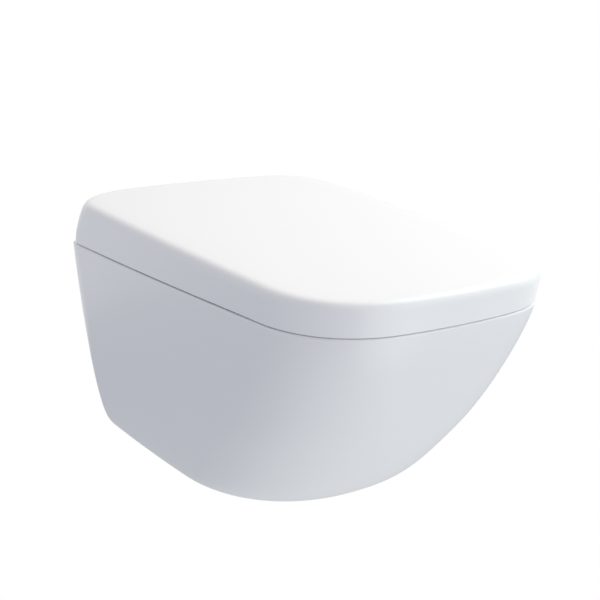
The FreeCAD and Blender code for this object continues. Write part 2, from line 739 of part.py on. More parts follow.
def make_base_plate():
    body = doc.addObject("PartDesign::Body", "base_plate")
    outline = sketch_on(body, "plate_outline", "XY_Plane")
    half = "unit_half - cover_wall - play"
    nose = "unit_nose_half - cover_wall - play"
    polygon(outline, [
        (f"-({half})", "-plate_back"), (f"-({half})", "-unit_step + cover_wall + play"),
        (f"-({nose})", "-unit_step + cover_wall + play"), (f"-({nose})", "-plate_nose"),
        ("-bay_half - 10", "-plate_nose"), ("-bay_half - 10", "-plate_front"),
        ("-guide_width / 2 - 1.5", "-plate_front"), ("-guide_width / 2 - 1.5", "-guide_room_back"),
        ("guide_width / 2 + 1.5", "-guide_room_back"), ("guide_width / 2 + 1.5", "-plate_front"),
        ("bay_half + 10", "-plate_front"), ("bay_half + 10", "-plate_nose"),
        (nose, "-plate_nose"), (nose, "-unit_step + cover_wall + play"),
        (half, "-unit_step + cover_wall + play"), (half, "-plate_back")])
    pad(body, "plate_slab", outline, "plate", midplane=False)
    for side, name in ((-1, "left"), (1, "right")):
        near, far = f"{side} * tub_near", f"{side} * tub_far"
        tub = sketch_on(body, f"tub_outline_{name}", "XY_Plane")
        polygon(tub, [(near, "-tub_back"), (near, "-tub_front"), (far, "-tub_front"),
                      (far, "-tub_back")])
        sunk = pad(body, f"tub_{name}", tub, "tub_drop", midplane=False)
        sunk.Reversed = True
    doc.recompute()
    for side, name in ((-1, "left"), (1, "right")):
        near, far = f"{side} * (tub_near + tub_wall)", f"{side} * (tub_far - tub_wall)"
        room = sketch_on(body, f"tub_room_{name}", "XY_Plane")
        room.setExpression("AttachmentOffset.Base.z", formula("plate"))
        polygon(room, [(near, "-tub_back - tub_wall"), (near, "-tub_front + tub_wall"),
                       (far, "-tub_front + tub_wall"), (far, "-tub_back - tub_wall")])
        pocket(body, f"tub_hollow_{name}", room, "plate + tub_drop - tub_wall", midplane=False)
        hole = sketch_on(body, f"tub_port_{name}", "XZ_Plane")
        hole.addGeometry(Part.Circle(Vector(side * size("supply_offset"), -size("supply_drop"), 0),
                                     Vector(0, 0, 1), 8))
        bind(hole, "DistanceX", -1, 1, 0, 3, f"{side} * supply_offset")
        bind(hole, "DistanceY", -1, 1, 0, 3, "-supply_drop")
        bind(hole, "Radius", 0, "port_neck / 2 + play")
        hole.setExpression("AttachmentOffset.Base.z", formula("tub_back - 1"))
        port = pocket(body, f"tub_inlet_{name}", hole, "tub_wall + 2", midplane=False)
        port.Reversed = True
        doc.recompute()
    holes = sketch_on(body, "deck_bolt_holes", "XY_Plane")
    for number, side in enumerate((-1, 1)):
        holes.addGeometry(Part.Circle(Vector(side * 30, -75, 0), Vector(0, 0, 1), 4))
        bind(holes, "DistanceX", -1, 1, number, 3, f"{side} * deck_bolt_offset")
        bind(holes, "DistanceY", -1, 1, number, 3, "-deck_bolt_back")
        bind(holes, "Radius", number, "deck_bolt / 2 + play")
    pocket(body, "deck_bolt_bores", holes, "4 * plate")
    body.setExpression("Placement.Base.z", formula("rim_height"))
    node(body, "base_plate")


def make_cover():
    body = doc.addObject("PartDesign::Body", "unit_cover")
    wall = "cover_wall"
    step = "unit_step"
    foot = "play"
    main = sketch_on(body, "cover_profile", "YZ_Plane")
    polygon(main, [("-unit_back", foot), ("-unit_back", "unit_top - 12"),
                   ("-unit_back - 12", "unit_top"), ("-unit_slope_back", "unit_top"),
                   (f"-{step}", "unit_top - (unit_step - unit_slope_back) * 0.25"),
                   (f"-{step}", foot)])
    pad(body, "cover_block", main, "2 * unit_half")
    nose = sketch_on(body, "nose_profile", "YZ_Plane")
    polygon(nose, [(f"-{step} + 1", foot),
                   (f"-{step} + 1", "unit_top - (unit_step - 1 - unit_slope_back) * 0.25"),
                   ("-unit_slope_front", "unit_top - (unit_slope_front - unit_slope_back) * 0.25"),
                   ("-unit_front + 4", "unit_nose_top"), ("-unit_front", "unit_nose_top - 5"),
                   ("-unit_front", "bay_top + play"), ("-plate_nose", "bay_top + play"),
                   ("-plate_nose", foot)])
    pad(body, "nose_block", nose, "2 * unit_nose_half")
    doc.recompute()
    room = sketch_on(body, "cover_room", "YZ_Plane")
    polygon(room, [("-unit_back - cover_wall", "-1"),
                   ("-unit_back - cover_wall", "unit_top - 12 - cover_wall * 0.42"),
                   ("-unit_back - 12 - cover_wall * 0.42", "unit_top - cover_wall"),
                   ("-unit_slope_back", "unit_top - cover_wall"),
                   (f"-{step} + {wall}",
                    "unit_top - cover_wall - (unit_step - cover_wall - unit_slope_back) * 0.25"),
                   (f"-{step} + {wall}", "-1")])
    pocket(body, "cover_hollow", room, "2 * (unit_half - cover_wall)")
    nose_room = sketch_on(body, "nose_room", "YZ_Plane")
    polygon(nose_room, [
        (f"-{step} + 4", "-1"),
        (f"-{step} + 4", "unit_top - cover_wall - (unit_step - 4 - unit_slope_back) * 0.25"),
        ("-unit_slope_front",
         "unit_top - cover_wall - (unit_slope_front - unit_slope_back) * 0.25"),
        ("-unit_front + 4 + cover_wall * 0.42", "unit_nose_top - cover_wall"),
        ("-unit_front + cover_wall", "unit_nose_top - 5 - cover_wall * 0.42"),
        ("-unit_front + cover_wall", "-1")])
    pocket(body, "nose_hollow", nose_room, "2 * (unit_nose_half - cover_wall)")
    pin_hole = sketch_on(body, "pin_hole", "YZ_Plane")
    pin_hole.addGeometry(Part.Circle(Vector(-150, 24, 0), Vector(0, 0, 1), 5))
    bind(pin_hole, "DistanceX", -1, 1, 0, 3, "-seat_axis_back")
    bind(pin_hole, "DistanceY", -1, 1, 0, 3, "seat_axis_up")
    bind(pin_hole, "Radius", 0, "seat_pin / 2 + play")
    pocket(body, "pin_holes", pin_hole, "2 * unit_half")
    heel = sketch_on(body, "heel_room", "YZ_Plane")
    polygon(heel, [("-unit_back + 1", "-1"), ("-unit_back + 1", "plate + play"),
                   ("-unit_back - cover_wall - 1", "plate + play"),
                   ("-unit_back - cover_wall - 1", "-1")])
    pocket(body, "heel_hollow", heel, "2 * (unit_half - cover_wall)")
    caps = sketch_on(body, "button_holes", "XY_Plane")
    for number in range(4):
        caps.addGeometry(Part.Circle(Vector(80 + 20 * number, -80, 0), Vector(0, 0, 1), 6))
        bind(caps, "DistanceX", -1, 1, number, 3, f"button_first + {number} * button_pitch")
        bind(caps, "DistanceY", -1, 1, number, 3, "-button_back")
        bind(caps, "Radius", number, "button_width / 2 + play")
    pocket(body, "button_holes_cut", caps, "3 * unit_top")
    body.setExpression("Placement.Base.z", formula("rim_height"))
    node(body, "unit_cover")


def make_bay():
    half, front, wall = "bay_half", "bay_front", "bay_wall"
    outside = slab("bay_outside", (f"-{half}", half), (f"-{front}", "-plate_front - play"),
                   (up("-bay_drop"), up("bay_top")))
    low_room = slab("bay_low_room", (f"-{half} + {wall}", f"{half} - {wall}"),
                    (f"-{front} + {wall}", f"-plate_front - play - {wall}"),
                    (up(f"{wall} - bay_drop"), up(f"bay_top - {wall}")))
    open_top = slab("bay_open_top", (f"-{half} + {wall}", f"{half} - {wall}"),
                    ("-unit_front + cover_wall", f"-plate_front - play - {wall}"),
                    (up("0"), up("bay_top + 1")))
    step_back = slab("bay_step", (f"-{half} - 1", f"{half} + 1"),
                     ("-unit_front - play", "-plate_front + 1"), (up("bay_top - 1"), up("bay_top + 1")))
    wand_way = slab("bay_wand_way", ("-guide_width / 2 + 1", "guide_width / 2 - 1"),
                    (f"-{front} - 1", "-plate_front + 1"),
                    (up("-bay_drop + 3"), up("2.8")))
    top_way = slab("bay_top_way", ("-guide_width / 2 - 1", "guide_width / 2 + 1"),
                   (f"-plate_front - play - {wall} - 1", "-plate_front + 1"),
                   (up("-bay_drop + 3"), up("bay_top + 1")))
    crest = slab("bay_crest_way", ("-wand_width / 2 - 1", "wand_width / 2 + 1"),
                 (f"-{front} - 1", "-plate_front + 1"), (up("0"), up("bay_top + 1")))
    vents = [crest]
    for side, name in ((-1, "left"), (1, "right")):
        vents.append(slab(f"bay_vent_{name}",
                          (f"{side} * (vent_near + vent_far) / 2 - (vent_far - vent_near) / 2",
                           f"{side} * (vent_near + vent_far) / 2 + (vent_far - vent_near) / 2"),
                          (f"-{front} - 1", f"-{front} + {wall} + 1"),
                          (up("-vent_drop"), up("vent_top"))))
    lugs = [slab(f"flap_lug_{name}", (f"{x} - 1.2", f"{x} + 1.2"), (f"-{front} - 4.4", f"-{front} + 1"),
                 (up("0"), up("bay_top")))
            for name, x in (("near", "vent_near - 3.2"), ("far", "vent_far + 3.2"))]
    pivot = rod("flap_lug_bore", ("(vent_near + vent_far) / 2", f"-{front} - 1.9", up("2.4")),
                "1.5 + pin_play", "vent_far - vent_near + 20", "X")
    node(cut("nozzle_bay", join("bay_blank", outside, *lugs), low_room, open_top, step_back,
             wand_way, top_way, pivot, *vents), "nozzle_bay")


make_base_plate()
make_cover()
make_bay()


# ---- washing wand and its rack drive ----

def tilt(name, thing, label):
    """Turn a piece from the wand's own axes, tip at the origin, into its sloping place."""
    moved = group(name, thing)
    moved.Placement = FreeCAD.Placement(Vector(), FreeCAD.Rotation(Vector(1, 0, 0),
                                                                  size("wand_slope")))
    moved.setExpression("Placement.Rotation.Angle", formula("wand_slope"))
    place(moved, "0", "-wand_exit_back", up("-wand_exit_drop"))
    return node(moved, label) if label else moved


RACK_FLOOR = "(wand_width / 2 - rack_base - (1.25 + rack_addendum) * module)"
PINION_UP = f"({RACK_FLOOR} + rack_base + 1.25 * module + module * teeth / 2)"


def make_wand():
    body = doc.addObject("PartDesign::Body", "wand_body")
    outline = sketch_on(body, "wand_profile", "YZ_Plane")
    polygon(outline, [("0", "0"), ("0", "wand_width / 2 - 3"), ("0.9", "wand_width / 2 - 0.9"),
                      ("3", "wand_width / 2"), ("wand_length", "wand_width / 2"),
                      ("wand_length", "0")])
    turned = body.newObject("PartDesign::Revolution", "wand_turned")
    turned.Profile = outline
    turned.ReferenceAxis = (outline, ["H_Axis"])
    turned.Angle = 360
    doc.recompute()
    flat = sketch_on(body, "rack_seat", "YZ_Plane")
    polygon(flat, [("rack_start", RACK_FLOOR), ("wand_length + 1", RACK_FLOOR),
                   ("wand_length + 1", "wand_width"), ("rack_start", "wand_width")])
    pocket(body, "rack_seat_cut", flat, "rack_thick")
    spray = sketch_on(body, "spray_seat", "YZ_Plane")
    polygon(spray, [("4", "wand_width / 2 - 1.5"), ("18", "wand_width / 2 - 1.5"),
                    ("18", "wand_width"), ("4", "wand_width")])
    pocket(body, "spray_seat_cut", spray, "5")
    tilt("spray_wand", body, "spray_wand")

    head = doc.addObject("PartDesign::Body", "spray_head_body")
    blank = sketch_on(head, "spray_blank", "YZ_Plane")
    polygon(blank, [("4 + 0.1", "wand_width / 2 - 1.5"), ("18 - 0.1", "wand_width / 2 - 1.5"),
                    ("18 - 0.1", "wand_width / 2 - 0.5"), ("4 + 0.1", "wand_width / 2 - 0.5")])
    pad(head, "spray_plate", blank, "5 - 0.2")
    doc.recompute()
    holes = sketch_on(head, "spray_holes", "XY_Plane")
    for number, along in enumerate(("7", "11", "15")):
        holes.addGeometry(Part.Circle(Vector(0, size(along), 0), Vector(0, 0, 1), 0.7))
        holes.addConstraint(Sketcher.Constraint("PointOnObject", number, 3, -2))
        bind(holes, "DistanceY", -1, 1, number, 3, along)
        bind(holes, "Radius", number, "0.7")
    pocket(head, "spray_bores", holes, "4 * wand_width")
    tilt("spray_head", head, "spray_head")

    shield = cut("shield_blank", block("shield_plate", ("0", "-1.3", "-2.2"),
                                       ("guide_width - 5", "1.8", "15")),
                 block("shield_dent", ("0", "-2.3", "-2.2"), ("guide_width - 9", "0.8", "11")))
    tilt("wand_shield", shield, "wand_shield")


def make_rack():
    body = doc.addObject("PartDesign::Body", "rack_body")
    pitch = math.pi * size("module")
    lean = math.tan(math.radians(20))
    base = sketch_on(body, "rack_bar", "YZ_Plane")
    root = f"{RACK_FLOOR} + rack_base"
    polygon(base, [("rack_start", RACK_FLOOR), ("wand_length - 1", RACK_FLOOR),
                   ("wand_length - 1", root), ("rack_start", root)])
    pad(body, "rack_bar_pad", base, "rack_thick")
    tooth = sketch_on(body, "rack_tooth", "YZ_Plane")
    pitch_line = f"{root} + 1.25 * module"
    half = "(3.14159265 * module / 4 - backlash / 2)"
    start = "pinion_back - 3 * 3.14159265 * module"
    polygon(tooth, [
        (f"{start} - {half} - 1.25 * module * {lean:.6f}", f"{root} - 0.2"),
        (f"{start} - {half} + rack_addendum * module * {lean:.6f}",
         f"{pitch_line} + rack_addendum * module"),
        (f"{start} + {half} - rack_addendum * module * {lean:.6f}",
         f"{pitch_line} + rack_addendum * module"),
        (f"{start} + {half} + 1.25 * module * {lean:.6f}", f"{root} - 0.2")])
    feature = pad(body, "rack_tooth_pad", tooth, "rack_thick")
    doc.recompute()
    count = int((size("wand_length") - 3 - size(start)) / pitch)
    row = body.newObject("PartDesign::LinearPattern", "rack_teeth")
    row.Originals = [feature]
    row.Direction = (base, ["H_Axis"])
    row.Length = pitch * (count - 1)
    row.Occurrences = count
    body.Tip = row
    tilt("drive_rack", body, "drive_rack")


def pinion_outline(pitch_radius, module, teeth, backlash):
    """An involute wheel with one gap pointing straight down."""
    base = pitch_radius * math.cos(math.radians(20))
    tip = pitch_radius + module
    root = pitch_radius - 1.25 * module
    involute = math.tan(math.radians(20)) - math.radians(20)
    half_tooth = math.pi / (2 * teeth) - backlash / (2 * pitch_radius)
    edges = []

    def spot(radius, angle):
        return Vector(0, radius * math.sin(angle), -radius * math.cos(angle))

    def flank(radius):
        press = math.acos(min(1, base / radius))
        return half_tooth + involute - (math.tan(press) - press)

    step = 2 * math.pi / teeth
    radii = [between(base, tip, share / 5) for share in range(6)]
    for tooth in range(teeth):
        middle = (tooth + 0.5) * step
        rising = [spot(radius, middle - flank(radius)) for radius in radii]
        falling = [spot(radius, middle + flank(radius)) for radius in reversed(radii)]
        first_root = spot(root, middle - flank(base))
        last_root = spot(root, middle + flank(base))
        next_root = spot(root, middle + step - flank(base))
        up_side = Part.BSplineCurve()
        up_side.interpolate(rising)
        down_side = Part.BSplineCurve()
        down_side.interpolate(falling)
        edges += [Part.LineSegment(first_root, rising[0]).toShape(), up_side.toShape(),
                  Part.Arc(rising[-1], spot(tip, middle), falling[0]).toShape(),
                  down_side.toShape(), Part.LineSegment(falling[-1], last_root).toShape(),
                  Part.Arc(last_root, spot(root, middle + step / 2), next_root).toShape()]
    return Part.Wire(edges)


def make_drive():
    pitch_radius = size("module * teeth / 2")
    centre_up = PINION_UP
    thick = size("pinion_thick")
    shaft = size("shaft_width") / 2
    wheel = Part.Face(pinion_outline(pitch_radius, size("module"), int(size("teeth")),
                                     size("backlash"))).extrude(Vector(thick, 0, 0))
    wheel = wheel.cut(Part.makeCylinder(shaft, thick, Vector(), Vector(1, 0, 0)))
    gear = solid("pinion_wheel", wheel)
    place(gear, "-pinion_thick / 2", "pinion_back", centre_up)
    tilt("drive_pinion", gear, "drive_pinion")
    spindle = rod("spindle", ("(pinion_thick / 2 + guide_width / 2 + 2) / 2 + 3",
                              "pinion_back", centre_up), "shaft_width / 2",
                  "guide_width / 2 + 2 + pinion_thick / 2 + 6", "X")
    tilt("drive_spindle", spindle, "drive_spindle")
    away = "pinion_back + motor_offset"
    shell = rod("motor_blank", ("guide_width / 2 + 2 + motor_length / 2", away, centre_up),
                "motor_width / 2", "motor_length", "X")
    hole = rod("motor_bore", ("guide_width / 2 + 2", "pinion_back", centre_up),
               "shaft_width / 2 + pin_play", "18", "X")
    tilt("drive_motor", cut("motor_bored", shell, hole), "drive_motor")


def make_guide():
    sleeve = slab("guide_sleeve", ("-guide_width / 2", "guide_width / 2"),
                  ("guide_start", "guide_end"), ("-guide_under", "4.6"))
    tilted = tilt("guide_sleeve_tilted", sleeve, None)
    foot = slab("guide_foot", ("-guide_width / 2", "guide_width / 2"), ("-112", "-92"),
                (up("plate"), up("plate + 14")))
    path = rod("guide_bore", ("0", "wand_length / 2", "0"), "wand_width / 2 + pin_play",
               "wand_length + 80", "Y")
    slot = slab("guide_slot", ("-rack_thick / 2 - play", "rack_thick / 2 + play"),
                ("0", "wand_length + 20"), ("0", "30"))
    way = tilt("guide_way", join("guide_cuts", path, slot), None)
    node(cut("wand_guide", join("guide_blank", tilted, foot), way), "wand_guide")


make_wand()
make_rack()
make_drive()
make_guide()


# ---- water side: inlet, valve, heater tank, pump and their hoses (left tub) ----

def water_side():
    port = ("-supply_offset", up("-supply_drop"))
    tube = join("inlet_blank",
                rod("inlet_thread", (port[0], "(1 - tub_back) / 2", port[1]),
                    "supply_thread / 2", "tub_back - 3", "Y"),
                rod("inlet_neck", (port[0], "-(tub_back + tub_wall + 8) / 2 - 0.5", port[1]),
                    "port_neck / 2", "tub_back + tub_wall + 7", "Y"),
                rod("inlet_flange", (port[0], "-tub_back - tub_wall - play - 3", port[1]),
                    "supply_thread / 2 + 3", "6", "Y"))
    node(cut("water_inlet", tube, rod("inlet_way", (port[0], "-15", port[1]), "6", "60", "Y")),
         "water_inlet")
    strainer = rod("strainer_tube", (port[0], "-12", port[1]), "6", "16", "Y")
    node(cut("inlet_strainer", strainer,
             rod("strainer_way", (port[0], "-10", port[1]), "4.6", "16", "Y")), "inlet_strainer")
    valve_back = "-(tub_back + tub_wall + 8) - play"
    body = slab("valve_body", ("-supply_offset - 14", "-supply_offset + 14"),
                (f"{valve_back} - 24", valve_back), (up("-tub_drop + tub_wall"), up("-supply_drop + 11")))
    coil = rod("valve_coil", ("-supply_offset", f"{valve_back} - 12", up("-supply_drop + 23")),
               "10", "24", "Z")
    spout = rod("valve_spout", ("-supply_offset", f"{valve_back} - 28", up("-supply_drop")),
                "4", "8", "Y")
    node(join("inlet_valve", body, coil, spout), "inlet_valve")

    tank_y, tank_z = "-tub_front + tub_wall + 21", up("-tub_drop + tub_wall + 19")
    middle = "-(tub_near + tub_far) / 2"
    span = "tub_far - tub_near - 2 * tub_wall"
    barrel = rod("tank_barrel", (middle, tank_y, tank_z), "18", f"{span} - 20", "X")
    ends = rod("tank_ends", (middle, tank_y, tank_z), "14", f"{span} - 10", "X")
    feet = [slab(f"tank_foot_{name}", (f"{middle} + {x} - 4", f"{middle} + {x} + 4"),
                 (f"{tank_y} - 14", f"{tank_y} + 14"), (up("-tub_drop + tub_wall"), tank_z))
            for name, x in (("left", "-26"), ("right", "26"))]
    node(join("heater_tank", barrel, ends, *feet), "heater_tank")

    pump_x, pump_y = "-tub_near - tub_wall - 24", "-tub_back - tub_wall - 14"
    pump_z = up("-tub_drop + tub_wall + 13")
    node(join("water_pump", rod("pump_motor", (pump_x, pump_y, pump_z), "12", "30", "X"),
              slab("pump_head", (f"{pump_x} + 15", f"{pump_x} + 23"),
                   (f"{pump_y} - 12", f"{pump_y} + 12"), (up("-tub_drop + tub_wall"), f"{pump_z} + 12")),
              slab("pump_foot", (f"{pump_x} - 12", f"{pump_x} + 16"),
                   (f"{pump_y} - 10", f"{pump_y} + 10"), (up("-tub_drop + tub_wall"), pump_z))),
         "water_pump")


def hose(corners, bend, radius, bore):
    """A tube along straight runs joined by arcs."""
    edges = []
    start = corners[0]
    for before, corner, after in zip(corners, corners[1:], corners[2:]):
        toward = (before - corner).normalize()
        onward = (after - corner).normalize()
        half = toward.getAngle(onward) / 2
        reach = bend / math.tan(half)
        middle = corner + (toward + onward).normalize() * (bend / math.sin(half) - bend)
        edges.append(Part.LineSegment(start, corner + toward * reach).toShape())
        edges.append(Part.Arc(corner + toward * reach, middle, corner + onward * reach).toShape())
        start = corner + onward * reach
    edges.append(Part.LineSegment(start, corners[-1]).toShape())
    path = Part.Wire(edges)
    direction = (corners[1] - corners[0]).normalize()
    rings = [Part.Wire(Part.Circle(corners[0], direction, size_).toShape())
             for size_ in (radius, bore)]
    tubes = [path.makePipeShell([ring], True, False) for ring in rings]
    return tubes[0].cut(tubes[1])


def make_hoses():
    rim = size("rim_height")
    tank_y = -size("tub_front") + size("tub_wall") + 21
    tank_z = rim - size("tub_drop") + size("tub_wall") + 19
    valve_y = -size("tub_back") - size("tub_wall") - 8 - size("play") - 32
    pump = Vector(-size("tub_near") - size("tub_wall") - 9, -size("tub_back") - size("tub_wall") - 26,
                  rim - size("tub_drop") + size("tub_wall") + 13)
    feed = hose([Vector(-size("supply_offset"), valve_y, rim - size("supply_drop")),
                 Vector(-size("supply_offset"), tank_y + 18, rim - size("supply_drop"))],
                5, 4, 2.5)
    warm = hose([Vector(pump.x, tank_y + 14, tank_z + 6), Vector(pump.x, pump.y + 0, tank_z + 6)],
                5, 3, 2)
    runs = solid("hose_runs", Part.makeCompound([feed, warm]))
    node(cut("water_hoses", runs, doc.getObject("heater_tank")), "water_hoses")


# ---- warm air side: blower, duct, heater and flap (right tub) ----

def scroll_face(centre, grow, height):
    """The blower's spiral, whose radius grows steadily over one turn, and its straight mouth."""
    spots = []
    for step in range(13):
        turn = 2 * math.pi * step / 12
        radius = size("blower_near") + size("blower_grow") * step / 12 - grow
        spots.append(centre + Vector(-radius * math.cos(turn), radius * math.sin(turn), height))
    spiral = Part.BSplineCurve()
    spiral.interpolate(spots)
    close = Part.LineSegment(spots[-1], spots[0])
    return Part.Face(Part.Wire([spiral.toShape(), close.toShape()]))


def make_blower():
    rim = size("rim_height")
    floor = rim + size("plate")
    tall, wall = size("blower_height"), size("duct_wall")
    centre = Vector(size("blower_offset"), -size("blower_back"), 0)
    mouth_far = centre.x - size("blower_near") - size("blower_grow")
    mouth = (mouth_far, mouth_far + size("blower_mouth"))
    front = -size("tub_front") + 3
    outside = scroll_face(centre, 0, floor).extrude(Vector(0, 0, tall)).fuse(
        box_between(mouth, (centre.y, front), (floor, floor + tall)))
    inside = scroll_face(centre, wall, floor + wall).extrude(Vector(0, 0, tall - 2 * wall)).fuse(
        box_between((mouth[0] + wall, mouth[1] - wall), (centre.y, front - 1),
                    (floor + wall, floor + tall - wall)))
    inlet = Part.makeCylinder(size("blower_inlet") / 2, wall * 3,
                              centre + Vector(0, 0, floor + tall - wall * 2))
    hub = Part.makeCylinder(size("motor_shaft") / 2 + size("play"), wall * 3,
                            centre + Vector(0, 0, floor - wall))
    node(solid("blower_housing", outside.cut([inside, inlet, hub])), "blower_housing")
    motor = rod("blower_motor_body", ("blower_offset", "-blower_back", up("plate - 13 - play")),
                "blower_motor / 2", "26", "Z")
    shaft = rod("blower_motor_shaft", ("blower_offset", "-blower_back", up("plate + blower_height / 2 - 8")),
                "motor_shaft / 2", "blower_height - 8", "Z")
    node(cut("blower_motor", motor,
             rod("blower_motor_bore", ("blower_offset", "-blower_back", up("plate")),
                 "motor_shaft / 2 + pin_play", "30", "Z")), "blower_motor")
    node(shaft, "blower_shaft")


def make_impeller():
    body = doc.addObject("PartDesign::Body", "blower_impeller")
    disc = sketch_on(body, "impeller_disc", "XY_Plane")
    for number, (start, text) in enumerate(((20, "impeller / 2"), (1.5, "motor_shaft / 2"))):
        disc.addGeometry(Part.Circle(Vector(), Vector(0, 0, 1), start))
        disc.addConstraint(Sketcher.Constraint("Coincident", number, 3, -1, 1))
        bind(disc, "Radius", number, text)
    pad(body, "impeller_plate", disc, "1.6", midplane=False)
    hub = sketch_on(body, "impeller_hub", "XY_Plane")
    for number, (start, text) in enumerate(((5, "motor_shaft / 2 + 3"), (1.5, "motor_shaft / 2"))):
        hub.addGeometry(Part.Circle(Vector(), Vector(0, 0, 1), start))
        hub.addConstraint(Sketcher.Constraint("Coincident", number, 3, -1, 1))
        bind(hub, "Radius", number, text)
    pad(body, "impeller_boss", hub, "impeller_height / 2", midplane=False)
    blade = sketch_on(body, "impeller_blade", "XY_Plane")
    polygon(blade, [("impeller / 2 - 6", "0"), ("impeller / 2 - 2.5", "0.6"),
                    ("impeller / 2 - 0.3", "2.6"), ("impeller / 2 - 0.3", "3.8"),
                    ("impeller / 2 - 3", "1.6"), ("impeller / 2 - 6", "0.9")])
    vane = pad(body, "impeller_vane", blade, "impeller_height", midplane=False)
    doc.recompute()
    ring = body.newObject("PartDesign::PolarPattern", "impeller_vanes")
    ring.Originals = [vane]
    ring.Axis = (disc, ["N_Axis"])
    ring.Angle = 360
    ring.setExpression("Occurrences", formula("blades"))
    body.Tip = ring
    place(body, "blower_offset", "-blower_back", up("plate + duct_wall + 1.2"))
    node(body, "blower_impeller")


def duct(name, side, top, back):
    """A square pipe over the floor plate that turns down to one of the bay's two vents."""
    near, far = "(vent_near - duct_wall)", "(vent_far + duct_wall)"
    x = (f"{side} * ({near} + {far}) / 2 - ({far} - {near}) / 2",
         f"{side} * ({near} + {far}) / 2 + ({far} - {near}) / 2")
    inner = (f"{x[0]} + duct_wall", f"{x[1]} - duct_wall")
    drop = "-bay_drop + bay_wall + play"
    bay_in = "-bay_front + bay_wall + play"
    nose = "-unit_front + cover_wall + 3"
    sleeve = "-plate_front - play - bay_wall - play"
    outside = join(f"{name}_outside",
                   slab(f"{name}_run", x, (nose, back), (up("plate"), up(top))),
                   slab(f"{name}_down", x, (nose, sleeve), (up(drop), up(top))),
                   slab(f"{name}_mouth", x, (bay_in, sleeve), (up(drop), up("bay_top - bay_wall - play"))))
    inside = join(f"{name}_inside",
                  slab(f"{name}_run_in", inner, (f"{nose} + duct_wall", f"{back} + 1"),
                       (up("plate + duct_wall"), up(f"{top} - duct_wall"))),
                  slab(f"{name}_down_in", inner, (f"{nose} + duct_wall", f"{sleeve} - duct_wall"),
                       (up(f"{drop} + duct_wall"), up(f"{top} - duct_wall"))),
                  slab(f"{name}_mouth_in", inner, (f"{bay_in} - 1", f"{sleeve} - duct_wall"),
                       (up(f"{drop} + duct_wall"), up("bay_top - bay_wall - play - duct_wall"))))
    return cut(name, outside, inside)


def air_side():
    node(duct("dryer_duct", 1, "plate + blower_height", "-tub_front + 3 - play"), "dryer_duct")
    make_blower()
    make_impeller()
    wires = [slab(f"heater_fin_{number}", ("vent_near + 3", "vent_far - 3"),
                  (f"-plate_front + 4 + {number} * 4", f"-plate_front + 5 + {number} * 4"),
                  (up("plate + duct_wall + 3"), up("plate + blower_height - duct_wall - 3")))
             for number in range(5)]
    frame = [slab(f"heater_rail_{number}", ("vent_near + 3", "vent_far - 3"),
                  ("-plate_front + 4", "-plate_front + 21"), spot)
             for number, spot in enumerate(((up("plate + duct_wall"), up("plate + duct_wall + 3")),
                                            (up("plate + blower_height - duct_wall - 3"),
                                             up("plate + blower_height - duct_wall"))))]
    node(join("dryer_heater", *wires, *frame), "dryer_heater")
    hinge = ("-bay_front - 1.9", up("2.4"))
    plate = slab("flap_plate", ("vent_near - 1.5", "vent_far + 1.5"),
                 ("-bay_front - play - 1.6", "-bay_front - play"), (up("-vent_drop - 1.5"), up("2.4")))
    pivot = rod("flap_pivot", ("(vent_near + vent_far) / 2", *hinge), "1.5",
                "vent_far - vent_near + 9", "X")
    node(join("dryer_flap", plate, pivot), "dryer_flap")


# ---- odour side: grille, duct with filter, fan (left) ----

